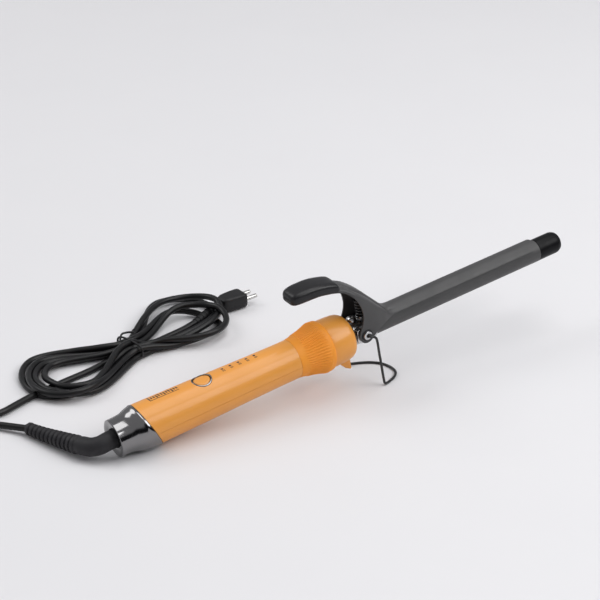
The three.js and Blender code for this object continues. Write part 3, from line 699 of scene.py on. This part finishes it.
def wrapped(name, profile, line, body, slot, replaces=(), steps=40):
    """A turned shape, drawn straight, bent to follow a line of points on the table."""
    dense = [profile[0]]
    for a, b in zip(profile, profile[1:]):
        parts = max(1, int(ceil(abs(b[0] - a[0]) / 0.9)))
        dense += [(mix(a[0], b[0], k / parts), mix(a[1], b[1], k / parts)) for k in range(1, parts + 1)]
    bm = turned(dense, steps)
    path = [Vector(p) for p in line]
    run = [0.0]
    for a, b in zip(path, path[1:]):
        run.append(run[-1] + (b - a).length)
    tangents = [(path[min(i + 1, len(path) - 1)] - path[max(i - 1, 0)]).normalized() for i in range(len(path))]
    normal = tangents[0].orthogonal().normalized()
    normals = []
    for tangent in tangents:
        normal = (normal - tangent * normal.dot(tangent)).normalized()
        normals.append(normal.copy())
    for v in bm.verts:
        x = min(max(v.co.x, 0.0), run[-1])
        i = min(int(np.searchsorted(run, x, side="right")) - 1, len(path) - 2)
        t = (x - run[i]) / (run[i + 1] - run[i])
        centre = path[i].lerp(path[i + 1], t)
        tangent = tangents[i].lerp(tangents[i + 1], t).normalized()
        side = normals[i].lerp(normals[i + 1], t)
        side = (side - tangent * side.dot(tangent)).normalized()
        centre += tangent * (v.co.x - x)
        v.co = centre + side * v.co.y + tangent.cross(side) * v.co.z
    facing_out(bm)
    return piece(name, bm, slot, replaces, body, TABLE)


def relief_profile(length, rear, front, ribs, start, end, groove):
    """A tapering sleeve with a row of rings between start and end."""
    outline = [(0, rear)]
    for i in range(ribs):
        x0 = mix(start, end, i / ribs)
        x1 = mix(start, end, (i + 1) / ribs)
        taper = mix(rear, front, ease((x0 - start * 0.7) / (length - start * 0.7)))
        land = x0 + (x1 - x0) * 0.58
        outline += [(x0, taper), (land, taper), (land + 0.15, taper - groove), (x1 - 0.15, taper - groove)]
    outline += [(end, front), (length, front)]
    return [(0, 0)] + rounded(outline, 0.45, 3) + [(length, 0)]


def plug_relief():
    """The ribbed strain relief behind the plug."""
    tail = CORD_LINE[-12:][::-1]
    line = catmull([tuple(p) for p in tail], 0.8)
    profile = relief_profile(31, 4.0, 2.75, 7, 4, 29, 0.7)
    return wrapped("plug_relief", profile, line, "handle", "plug_black")


plug, plug_pins = plug_body()
relief = plug_relief()


# ---- boot ----
def boot():
    """The swivelling boot: a plain elbow, then a tapering row of rings."""
    def tilted(x, y, z):
        return (x * cos(TILT) - z * sin(TILT), y, x * sin(TILT) + z * cos(TILT) + BASE_Z)
    stations = [
        tilted(3.5, 0, 0), tilted(0, 0, 0), tilted(-4, 0, 0), (-8.9, 0.4, 11), (-13.4, 3.4, 9.6), (-17, 9.4, 8.7),
        (-20.2, 17, 7.7), (-24.6, 28, 6.6), (-29.2, 39.4, 5.6), (-34, 52, 4.9), (-35.4, 54, 4.7),
    ]
    line = catmull(stations, 0.7)
    length = float(running(line)[-1])
    outline = [(0, BOOT_R), (25, BOOT_R), (27.5, BOOT_R - 0.4), (28.4, BOOT_R - 0.5)]
    ribs, start, end = 11, 29, length - 4
    for i in range(ribs):
        x0, x1 = mix(start, end, i / ribs), mix(start, end, (i + 1) / ribs)
        taper = mix(BOOT_R + 0.1, 4.3, i / (ribs - 1))
        land = mix(x0, x1, 0.6)
        outline += [(x0, taper), (land, taper), (land + 0.12, taper - 1.05), (x1 - 0.12, taper - 1.05)]
    outline += [(end, 4.4), (length - 1.8, 4.3), (length - 1.2, 3.2), (length, 2.9)]
    profile = [(0, 0)] + rounded(outline, 0.55, 3) + [(length, 0)]
    return wrapped("swivel_boot", profile, line, "swivel", "rubber", ("cord_boot",), 48)


boot()
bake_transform(cord)


# ---- handle ----
HANDLE_OUTER = [
    (14, HANDLE_R), (24, HANDLE_R - 0.05), (45, HANDLE_R - 0.4), (70, HANDLE_R - 0.85), (100, HANDLE_R - 1.5),
    (120, HANDLE_FRONT_R + 0.1), (COLLAR_X - 0.15, HANDLE_FRONT_R),
]


SEAM_NORMAL = Vector((1, 0, SEAM_SLOPE)).normalized()


def handle_radius(x):
    return along(HANDLE_OUTER, x)


def seam_cut(bm, offset, keep_front):
    """Cuts along the slanted joint between cap and handle, and closes the wall again."""
    sliced(bm, (SEAM_X + offset, 0, 0), SEAM_NORMAL, clear_inner=keep_front, clear_outer=not keep_front)
    bmesh.ops.bridge_loops(bm, edges=[e for e in bm.edges if e.is_boundary])
    return facing_out(bm)


def handle_wall():
    """The handle's hollow, gently tapering wall."""
    outer = eased(HANDLE_OUTER, 4)
    inner = [(x, r - HANDLE_WALL) for x, r in reversed(outer)]
    return seam_cut(turned(outer + inner, 128, closed=True), FIT, True)


def half_of(bm, upper):
    """Keeps the half above or below the moulded parting line."""
    side = 1 if upper else -1
    sliced(bm, (0, 0, side * PARTING / 2), (0, 0, side), clear_inner=True)
    bmesh.ops.holes_fill(bm, edges=[e for e in bm.edges if e.is_boundary], sides=0)
    return facing_out(bm)


def handle():
    """The two halves of the handle, with the holes for the button and the screws."""
    upper = half_of(handle_wall(), True)
    upper = carved(upper, slab(circle(BUTTON_X, 0, BUTTON_HOLE_R, 64), 2, 30, "xy"))
    piece("upper_shell", upper, "orange_gloss", ("handle_shell_upper",), edge=0.22)
    lower = half_of(handle_wall(), False)
    for x in SHELL_SCREWS_X:
        lower = carved(lower, slab(circle(x, 0, SCREW_HOLE_R, 32), -30, -2, "xy"))
    piece("lower_shell", lower, "orange_gloss", ("handle_shell_lower",), edge=0.22)


def rear_cap():
    """The chrome cap: a rim, a waist, and a soft bead along the slanted joint."""
    bead = 2.6
    outer = eased([
        (0.5, CAP_RIM_R), (3, CAP_RIM_R), (6, CAP_RIM_R + 0.1), (10.5, CAP_RIM_R + 0.6), (13.5, CAP_RIM_R + 1.7),
        (16.5, CAP_RIM_R + 2.5), (20, HANDLE_R + 0.08), (26, HANDLE_R + 0.12), (36, HANDLE_R + 0.12),
    ], 1.2)
    inner = [
        (36, HANDLE_R - HANDLE_WALL), (16.5, CAP_RIM_R + 0.6), (10.5, CAP_RIM_R - 1.4), (3.4, CAP_RIM_R - 1.9),
        (3.4, BOOT_R + 0.5), (0.9, BOOT_R + 0.5), (0.55, BOOT_R + 0.9), (0.3, CAP_RIM_R - 2),
        (0.1, CAP_RIM_R - 0.7),
    ]
    cap = turned(outer + inner, 128, closed=True)
    for offset in (-bead, -2.2, -1.8, -1.4, -1.0, -0.6):
        sliced(cap, (SEAM_X + offset, 0, 0), SEAM_NORMAL)
    cap = seam_cut(cap, -0.05, False)
    for v in cap.verts:
        r = hypot(v.co.y, v.co.z)
        behind = (Vector((SEAM_X - 0.05, 0, 0)) - v.co).dot(SEAM_NORMAL)
        if r > HANDLE_R - 1 and behind < bead:
            lift = 1 + 0.35 * sin(pi * min(max(bead - behind, 0) / bead, 1)) / r
            v.co.y *= lift
            v.co.z *= lift
    piece("chrome_cap", cap, "dark_chrome", ("rear_cap",), sharp=50, edge=0.3, segments=3)


def button():
    """The power button in its ring, both bent to the handle's curve."""
    top = handle_radius(BUTTON_X)
    bezel = turned(rounded([
        (top - 4, 6.7), (top + 0.1, 6.95), (top + 0.42, 6.75), (top + 0.42, 6.15), (top - 0.1, 5.95), (top - 4, 5.95),
    ], 0.2), 96, closed=True)
    crown = rounded([
        (top - 3, BUTTON_R), (top - 0.35, BUTTON_R), (top + 0.05, BUTTON_R - 0.9), (top - 0.15, 1.5),
    ], 0.5)
    cap = turned([(top - 4, 0), (top - 4, BUTTON_R)] + crown + [(top - 0.22, 0)], 96)
    for bm, name, body, slot, node in ((bezel, "button_ring", "handle", "dark_chrome", "button_bezel"),
                                       (cap, "button_cap", "button", "orange_gloss", "power_button")):
        upright(bm, BUTTON_X)
        for v in bm.verts:
            v.co.z -= top - sqrt(max(top * top - v.co.y ** 2, 0))
        piece(name, bm, slot, (node,), body)


def on_handle(bm, rise):
    """Lays a flat sheet, drawn in x and y, on the top of the handle."""
    for v in bm.verts:
        r = handle_radius(v.co.x) + rise + v.co.z
        v.co.z = sqrt(max(r * r - v.co.y ** 2, 0))
    return bm


def strip(x0, x1, y0, y1):
    """One small printed bar, fine enough to bend round the handle."""
    bm = bmesh.new()
    bmesh.ops.create_grid(bm, x_segments=4, y_segments=6, size=0.5)
    bmesh.ops.scale(bm, verts=bm.verts, vec=(x1 - x0, y1 - y0, 1))
    bmesh.ops.translate(bm, verts=bm.verts, vec=((x0 + x1) / 2, (y0 + y1) / 2, 0))
    pulled = bmesh.ops.extrude_face_region(bm, geom=bm.faces[:])
    top = [v for v in pulled["geom"] if isinstance(v, bmesh.types.BMVert)]
    bmesh.ops.translate(bm, verts=top, vec=(0, 0, INK_RISE))
    return facing_out(bm)


def indicators():
    """The five level lamps, each with three printed ticks beside it."""
    for i in range(LED_COUNT):
        x = LED_X0 + i * LED_STEP
        lens = turned(rounded([(-0.6, 0), (-0.6, 0.95), (0.1, 0.95), (0.18, 0.5), (0.2, 0)], 0.15), 32)
        piece(f"lens_{i + 1}", on_handle(upright(lens, x, LED_Y), 0.0), "lens", (f"indicator_{i + 1}",))
        ticks = joined(*[strip(x - 0.9 + 0.75 * k, x - 0.55 + 0.75 * k, -1.4, 0.3) for k in range(3)])
        piece(f"level_mark_{i + 1}", on_handle(ticks, -0.02), "matte_black", finish="print_ink")


def printed_mark():
    """A plain ornamental row of bars printed on the handle, between the cap and the button."""
    start, pitch = 29.5, 1.85
    bars = []
    for i in range(12):
        x = start + i * pitch
        low = 1.4 if i % 3 else 0.4
        bars.append(strip(x, x + 0.95, low, 4.6 if i % 4 else 5.6))
    bars.append(strip(start, start + 21.3, -0.5, 0.0))
    piece("printed_bars", on_handle(joined(*bars), -0.02), "matte_black", finish="print_ink")


def collar():
    """The flared collar with fine ribs that fade out at both ends."""
    profile = eased([
        (COLLAR_X, 13.55), (COLLAR_X + 4, 14.1), (COLLAR_X + 10, 15.1), (COLLAR_X + 14.5, 16.2),
        (COLLAR_X + 19, 17.6), (COLLAR_X + 22, 17.95), (COLLAR_X + 24, 17.7), (RING_X - 0.1, 17.1),
    ], 0.7)
    bore = HANDLE_FRONT_R - HANDLE_WALL
    bm = turned(profile + [(RING_X - 0.1, bore), (COLLAR_X, bore)], COLLAR_RIBS * 8, closed=True)
    start, end = COLLAR_X + 4, COLLAR_X + 21.5
    for v in bm.verts:
        r = hypot(v.co.y, v.co.z)
        if r < 13 or not start < v.co.x < end:
            continue
        wave = 0.5 + 0.5 * cos(COLLAR_RIBS * atan2(v.co.z, v.co.y))
        fade = ease((v.co.x - start) / 3) * ease((end - v.co.x) / 1.6)
        lift = 1 + RIB_RISE * fade * (wave ** 1.5 - 0.25) / r
        v.co.y *= lift
        v.co.z *= lift
    piece("grip_collar", bm, "orange_satin", ("ribbed_collar",), sharp=60)


def front_ring():
    """The ring in front of the collar, and the small fin under it."""
    outer = [
        (RING_X, RING_R - 0.9), (RING_X, RING_R - 0.1), (RING_X + 4, RING_R + 0.1), (RING_X + 9, RING_R),
        (RING_X + 12.5, RING_R - 0.3), (RING_X + 15.5, RING_R - 0.9), (RING_FRONT_X - 1.3, RING_R - 2),
        (RING_FRONT_X - 0.2, RING_R - 3.4), (RING_FRONT_X, RING_R - 4.6), (RING_FRONT_X, BARREL_R + 0.8),
        (RING_FRONT_X - 2.2, BARREL_R + 0.8), (RING_FRONT_X - 2.6, RING_R - 4.8), (RING_X + 13, RING_R - 3.2),
        (RING_X, HANDLE_FRONT_R - HANDLE_WALL),
    ]
    shell = turned(rounded(outer, 0.7, 4), 128, closed=True)
    piece("front_shell", shell, "orange_gloss", ("front_ring",))
    fin = slab([(169.6, -13.6), (177.8, -12.2), (178.6, -25.6), (177.8, -26.3), (174.0, -23.9), (170, -19.5)],
               -2.4, 2.4)
    piece("stand_fin", soften(fin, 0.5), "orange_gloss")


# ---- barrel and clip ----
def barrel():
    """The heated tube and the tip pushed into its end."""
    start, bore = 141, BARREL_R - BARREL_WALL
    wall = [(start, BARREL_R), (BARREL_X1, BARREL_R), (BARREL_X1, bore), (start, bore)]
    piece("heated_barrel", turned(wall, 96, closed=True), "barrel_coating", ("barrel",))
    tip = [
        (BARREL_X1 - 7, 0), (BARREL_X1 - 7, bore - 0.1), (BARREL_X1 + 0.25, bore - 0.1),
        (BARREL_X1 + 0.25, TIP_R), (TIP_END_X - 3.6, TIP_R - 0.05), (TIP_END_X - 0.5, TIP_R - 1.6),
        (TIP_END_X, TIP_R - 4.5), (TIP_END_X, 0),
    ]
    piece("insulated_tip", turned(rounded(tip, 1.4, 5), 96), "tip_black", ("cool_tip",))


# The lever along its length: top of the bead, foot of the bead, and half width.
CLIP_R = BARREL_R + FIT + CLIP_WALL
CREST = [
    (150, 47.2), (160, 46.6), (170, 44.4), (176.3, 42), (180.1, 39.8), (186, 35.4), (192, 29.8), (197, 24.2),
    (202, 18.6), (206, 14.2), (209, 11.6), (213, 10), (218, CLIP_R), (345, CLIP_R),
]
CREASE = [
    (150, 45.4), (160, 44.4), (170, 42.4), (176.3, 39.4), (180.1, 36.6), (186, 31), (192, 24.6), (197, 18.6),
    (202, 12.8), (206, 9.4), (209, 7.6), (213, 6.6), (218, 6), (345, 6),
]
LEVER_HALF = [
    (150, 8.4), (170, 8.6), (176.3, 9.6), (182, CHEEK_OUT), (196, CHEEK_OUT), (203, 11), (209, 9.4), (213, 8.2),
    (218, 7.2), (345, 7.2),
]


def flowing(table):
    """A smooth lookup through a table's points."""
    line = catmull(table, 0.5)
    return lambda x: float(np.interp(x, line[:, 0], line[:, 1]))


crest_at, crease_at, half_at = flowing(CREST), flowing(CREASE), flowing(LEVER_HALF)


def lever_section(x, depth, wall):
    """One section of the lever: crowned top, rounded shoulders and hanging cheeks."""
    half = half_at(x) - wall
    crest = crest_at(x) - depth
    crease = min(crease_at(x) - depth * 0.8, crest - 0.3)
    radius = CLIP_R - wall
    onto = ease((x - 204) / 15)
    spread = radians(57)
    foot = mix(crease - CHEEK_DROP, radius * cos(spread) - wall * 0.2, onto)
    points = []
    for i in range(33):
        t = i / 16 - 1
        arch = crease + (crest - crease) * sqrt(max(1 - abs(t) ** 2.6, 0))
        shoulder = 0.9 * ease((abs(t) - 0.42) / 0.12)
        groove = 1.5 * exp(-((abs(t) - 0.54) / 0.09) ** 2)
        arch -= (shoulder + groove) * ease((x - 168) / 6) * ease((222 - x) / 14)
        phi = t * spread
        points.append((x, mix(t * half, radius * sin(phi), onto), mix(arch, radius * cos(phi), onto)))
    side = mix(-half, -radius * sin(spread), onto)
    cheek = []
    for i in range(4):
        z = mix(min(foot, points[0][2] - 0.05), points[0][2], i / 4)
        cheek.append((x, side, z))
    return cheek + points + [(x, -y, z) for x, y, z in reversed(cheek)]


def clip_lever():
    """The lever, its cheeks and the clip over the barrel, bent from one sheet."""
    stations = [166 + 1.5 * i for i in range(37)] + list(range(222, 337, 6)) + [CLIP_X1 + 4]
    rows = []
    for x in stations:
        slope = (crest_at(x - 1) - crest_at(x + 1)) / 2
        outside = lever_section(x, 0, 0)
        inside = lever_section(x, CLIP_WALL * hypot(1, slope), CLIP_WALL)[::-1]
        inside[0] = (x, inside[0][1], outside[-1][2])
        inside[-1] = (x, inside[-1][1], outside[0][2])
        rows.append(outside + inside)
    px, pz = PIVOT
    rear = eased([
        (170.8, 60), (170.8, 40), (174.5, 38.4), (177.8, 36), (181.4, 32.2), (184, 27.6), (185.8, 22.2),
        (186.4, 16.4), (185.4, 11), (183.2, 6),
    ], 1.0)
    lobe = []
    for i in range(21):
        a = pi * (0.93 + i * 0.044)
        lobe.append((px + LOBE_R * cos(a), pz + LOBE_R * sin(a)))
    front = eased([(198, 1.6), (205, 4), (212, 4.6), (222, 4.6)], 1.5) + eased([
        (330, 4.6), (333.5, 5.2), (336.4, 6.8), (337.8, 8.6), (CLIP_X1 + 0.2, 12)], 0.6) + [(CLIP_X1 + 0.2, 60)]
    lever = carved(lofted(rows), slab(rear + lobe + front, -20, 20), "INTERSECT")
    lever = carved(lever, slab(circle(px, pz, EYELET_R + 0.2, 40), -20, 20))
    piece("clip_arm", lever, "barrel_coating", ("clip_lever",), "clip", sharp=42, edge=0.28, segments=3)


def thumb_rest():
    """The black finger rest pressed over the end of the lever."""
    spine = [
        (137.2, 44.4, 4.2, 1.8), (137.6, 44.6, 5.6, 3.0), (139.0, 45.0, 7.2, 4.2), (143, 45.3, 8.2, 4.9),
        (151, 45.4, 8.7, 5.0), (158, 45.0, 8.8, 4.9), (164, 43.8, 8.8, 4.8), (168, 42.8, 8.8, 4.7),
        (170.6, 41.9, 8.8, 4.6), (172.2, 41.3, 8.7, 4.4), (172.9, 41.0, 8.2, 4.0),
    ]
    rows = catmull(spine, 1.1)
    rest = lofted([box_ring(x, z, half, rise, 0.42, 0.62, 44, under=0.75) for x, z, half, rise in rows])
    piece("finger_rest", rest, "matte_black", ("thumb_rest",), "clip", sharp=55, edge=0.5, segments=3)


def spring():
    """The coil spring between the bracket and the lever, in a darker steel that paints the shadow it sits in."""
    turns, low, high = 5, 11.2, 22.6
    points = []
    for x, y in circle(0, 0, SPRING_R, 24) * turns + [(SPRING_R, 0)]:
        points.append((SPRING_X + x, y, mix(low, high, len(points) / (turns * 24))))
    # The spring's darker steel finish is painted shade, not the spring's own colour.
    coil = tube("clip_spring", points, 0.5, None, "steel", IRON, ("lever_spring",), sides=12, finish="shade_painted_steel")
    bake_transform(coil)


# ---- pivot and stand ----
def bracket():
    """The steel bracket: a clamp round the barrel, a seat, and an ear on each side."""
    px, pz = PIVOT
    plate, back, front = 1.2, 181, 193.4
    ear_out = CHEEK_OUT - CLIP_WALL - FIT
    clamp = turned([(180.6, BARREL_R + 0.05), (198, BARREL_R + 0.05), (198, BARREL_R + FIT + 1),
                    (180.6, BARREL_R + FIT + 1)], 72, closed=True)
    outline = [(back, 5.9), (back, -3), (184, -4.2), (px, pz - 5.2), (191.5, -3.4), (front, 0), (front, 5.9)]
    parts = []
    for side in (-1, 1):
        y0 = ear_out - plate if side > 0 else -ear_out
        ear = slab(outline, y0, y0 + plate)
        ear = carved(ear, slab(circle(px, pz, EYELET_R + 0.2, 32), y0 - 1, y0 + 2))
        parts.append(ear)
        web = (6, ear_out) if side > 0 else (-ear_out, -6)
        parts.append(slab([(back, web[0]), (front, web[0]), (front, web[1]), (back, web[1])], 5.4, 6.4, "xy"))
    seat = slab(circle(SPRING_X, 0, 4.0, 40), 7.5, 10.6, "xy")
    piece("pivot_bracket", joined(clamp, seat, *parts), "steel", ("barrel_bracket",), edge=0.15)


def seat_screw():
    """The round-headed cross screw that holds the bracket, in front of the ring."""
    radius, brim, crown = 3.5, 0.9, 2.1
    dome = [(brim + crown * sin(0.2 * i), radius * cos(0.2 * i)) for i in range(1, 8)]
    head = turned([(0, 0), (0, radius), (brim, radius)] + dome + [(brim + crown, 0)], 40)
    upright(head, 184, 0, SEAT_Z)
    slot_tool = slab([(183.6, -2), (184.4, -2), (184.4, 2), (183.6, 2)], 10.8, 13, "xy")
    slot_tool = joined(slot_tool, slab([(182, -0.4), (183.5, -0.4), (183.5, 0.4), (182, 0.4)], 10.8, 13, "xy"),
                       slab([(184.5, -0.4), (186, -0.4), (186, 0.4), (184.5, 0.4)], 10.8, 13, "xy"))
    piece("seat_screw", carved(head, slot_tool), "steel", edge=0.08)


def pivots():
    """The eyelet and washer on each side of the pivot."""
    px, pz = PIVOT
    flange = CHEEK_OUT + 0.85
    for name, side in (("near", -1), ("far", 1)):
        wall = rounded([
            (8.9, EYELET_BORE_R), (8.9, EYELET_R), (flange, EYELET_R), (flange, 3.2), (flange + 0.75, 3.0),
            (flange + 0.85, EYELET_BORE_R + 0.2), (flange + 0.4, EYELET_BORE_R),
        ], 0.25)
        washer = rounded([
            (CHEEK_OUT + 0.05, EYELET_R), (CHEEK_OUT + 0.05, 4.3), (CHEEK_OUT + 0.75, 4.2),
            (CHEEK_OUT + 0.8, EYELET_R),
        ], 0.2)
        for part, slot, title in ((wall, "steel", "eyelet"), (washer, "matte_black", "washer")):
            bm = turned(part, 48, closed=True)
            bmesh.ops.rotate(bm, verts=bm.verts, cent=(0, 0, 0), matrix=Matrix.Rotation(side * pi / 2, 3, "Z"))
            bmesh.ops.translate(bm, verts=bm.verts, vec=(px, 0, pz))
            piece(f"{title}_{name}", bm, slot, (f"pivot_{title}_{name}",))


def stand():
    """The bent wire stand, from one eyelet down, round its bowed foot and up to the other."""
    pivot_x = PIVOT[0] * cos(TILT) - PIVOT[1] * sin(TILT)
    pivot_z = PIVOT[0] * sin(TILT) + PIVOT[1] * cos(TILT) + BASE_Z
    drop = WIRE_R + 0.05 - pivot_z
    side = [
        (0, 10, 0), (0, 12.4, 0), (0.3, 14.9, -0.1), (2.4, 15.6, -0.6), (4.6, 15.8, -2), (5.5, 15.9, -5),
        (6.1, 16.5, -13), (6.9, 17.3, -23), (7.7, 18.1, drop + 4.6), (8.1, STAND_HALF, drop + 1.3),
        (9.6, STAND_HALF - 0.4, drop + 0.22),
    ]
    bow = []
    for i in range(1, 12):
        u = 1 - i / 6
        if abs(u) < 0.9:
            bow.append((STAND_FWD + FOOT_BOW * (0.45 * (1 - u * u) + 0.55 * (1 - u ** 4)), u * STAND_HALF, drop))
    line = catmull(side + bow + [(x, -y, z) for x, y, z in reversed(side)], 0.9)
    # The legs are bent a little out of true, so the near foot stands further forward.
    line[:, 0] -= 0.16 * line[:, 1] * np.clip(line[:, 2] / drop, 0, 1)
    line = line + np.array([pivot_x, 0, pivot_z])
    tube("folding_stand", line, WIRE_R, "stand", "black_wire", replaces=("wire_stand",), sides=16)


def dress_cad_nodes():
    """Gives every carried-over inner piece the finish of its slot."""
    for row in frame["record"]["subparts"]:
        mesh = frame["nodes"][row["node"]].data
        mesh.materials.clear()
        mesh.materials.append(FINISH[row["material_slot"]])


# ---- light and floor ----
def light(name, place, target, size, power, depth=None):
    """A soft rectangular lamp aimed at a point."""
    data = bpy.data.lights.new(name, "AREA")
    data.energy = power
    data.shape = "RECTANGLE"
    data.size = size
    data.size_y = depth or size
    lamp = bpy.data.objects.new(name, data)
    scene.collection.objects.link(lamp)
    lamp.location = place
    lamp.rotation_euler = (Vector(target) - Vector(place)).to_track_quat("-Z", "Y").to_euler()


def floor():
    bm = bmesh.new()
    bmesh.ops.create_grid(bm, x_segments=1, y_segments=1, size=6)
    mesh = bpy.data.meshes.new("floor")
    bm.to_mesh(mesh)
    bm.free()
    paper = Finish("floor_paper", (0.762, 0.757, 0.771), 0.7, specular=0.2)
    paper.mottle((0.754, 0.749, 0.764), 9, 3).smudge(0.66, 0.76, 30)
    mesh.materials.append(paper.material)
    ground = bpy.data.objects.new("floor", mesh)
    scene.collection.objects.link(ground)


def lamps():
    """Three soft boxes: behind, above and in front."""
    light("back_softbox", (-1.5, 1.9, 2.3), (-0.05, 0, 0), 1.8, 27)
    light("top_softbox", (0.60, -0.10, 2.60), (0.0, 0, 0), 2.0, 25, depth=1.5)
    light("front_softbox", (0.95, -1.15, 1.35), (0.0, 0, 0.02), 1.5, 19, depth=1.0)


def room():
    """An even pale room, with a dark low wall in front, which the chrome shows."""
    world = bpy.data.worlds.new("studio")
    world.use_nodes = True
    scene.world = world
    tree = world.node_tree
    outward = tree.nodes.new("ShaderNodeTexCoord").outputs["Generated"]
    fades = []
    for direction, low, high in (((0.1, -1.0, 0.0), 0.2, 0.5), ((0.0, 0.0, 1.0), 0.52, 0.34)):
        source = tree.nodes.new("ShaderNodeVectorMath")
        source.operation = "DOT_PRODUCT"
        source.inputs[1].default_value = direction
        tree.links.new(outward, source.inputs[0])
        fade = tree.nodes.new("ShaderNodeMapRange")
        fade.interpolation_type = "SMOOTHSTEP"
        fade.inputs["From Min"].default_value = low
        fade.inputs["From Max"].default_value = high
        tree.links.new(source.outputs["Value"], fade.inputs["Value"])
        fades.append(fade.outputs["Result"])
    reach = tree.nodes.new("ShaderNodeMath")
    reach.operation = "MULTIPLY"
    tree.links.new(fades[0], reach.inputs[0])
    tree.links.new(fades[1], reach.inputs[1])
    walls = tree.nodes.new("ShaderNodeMix")
    walls.data_type = "RGBA"
    walls.inputs["A"].default_value = (0.97, 0.97, 1.0, 1)
    walls.inputs["B"].default_value = (0.03, 0.03, 0.035, 1)
    tree.links.new(reach.outputs["Value"], walls.inputs["Factor"])
    tree.links.new(walls.outputs["Result"], tree.nodes["Background"].inputs["Color"])
    tree.nodes["Background"].inputs["Strength"].default_value = 0.40
    scene.view_settings.view_transform = "Standard"
    scene.view_settings.look = "None"


for make in (handle, rear_cap, button, indicators, printed_mark, collar, front_ring, barrel, clip_lever, thumb_rest,
             spring, bracket, seat_screw, pivots, stand, dress_cad_nodes, floor, lamps, room):
    make()
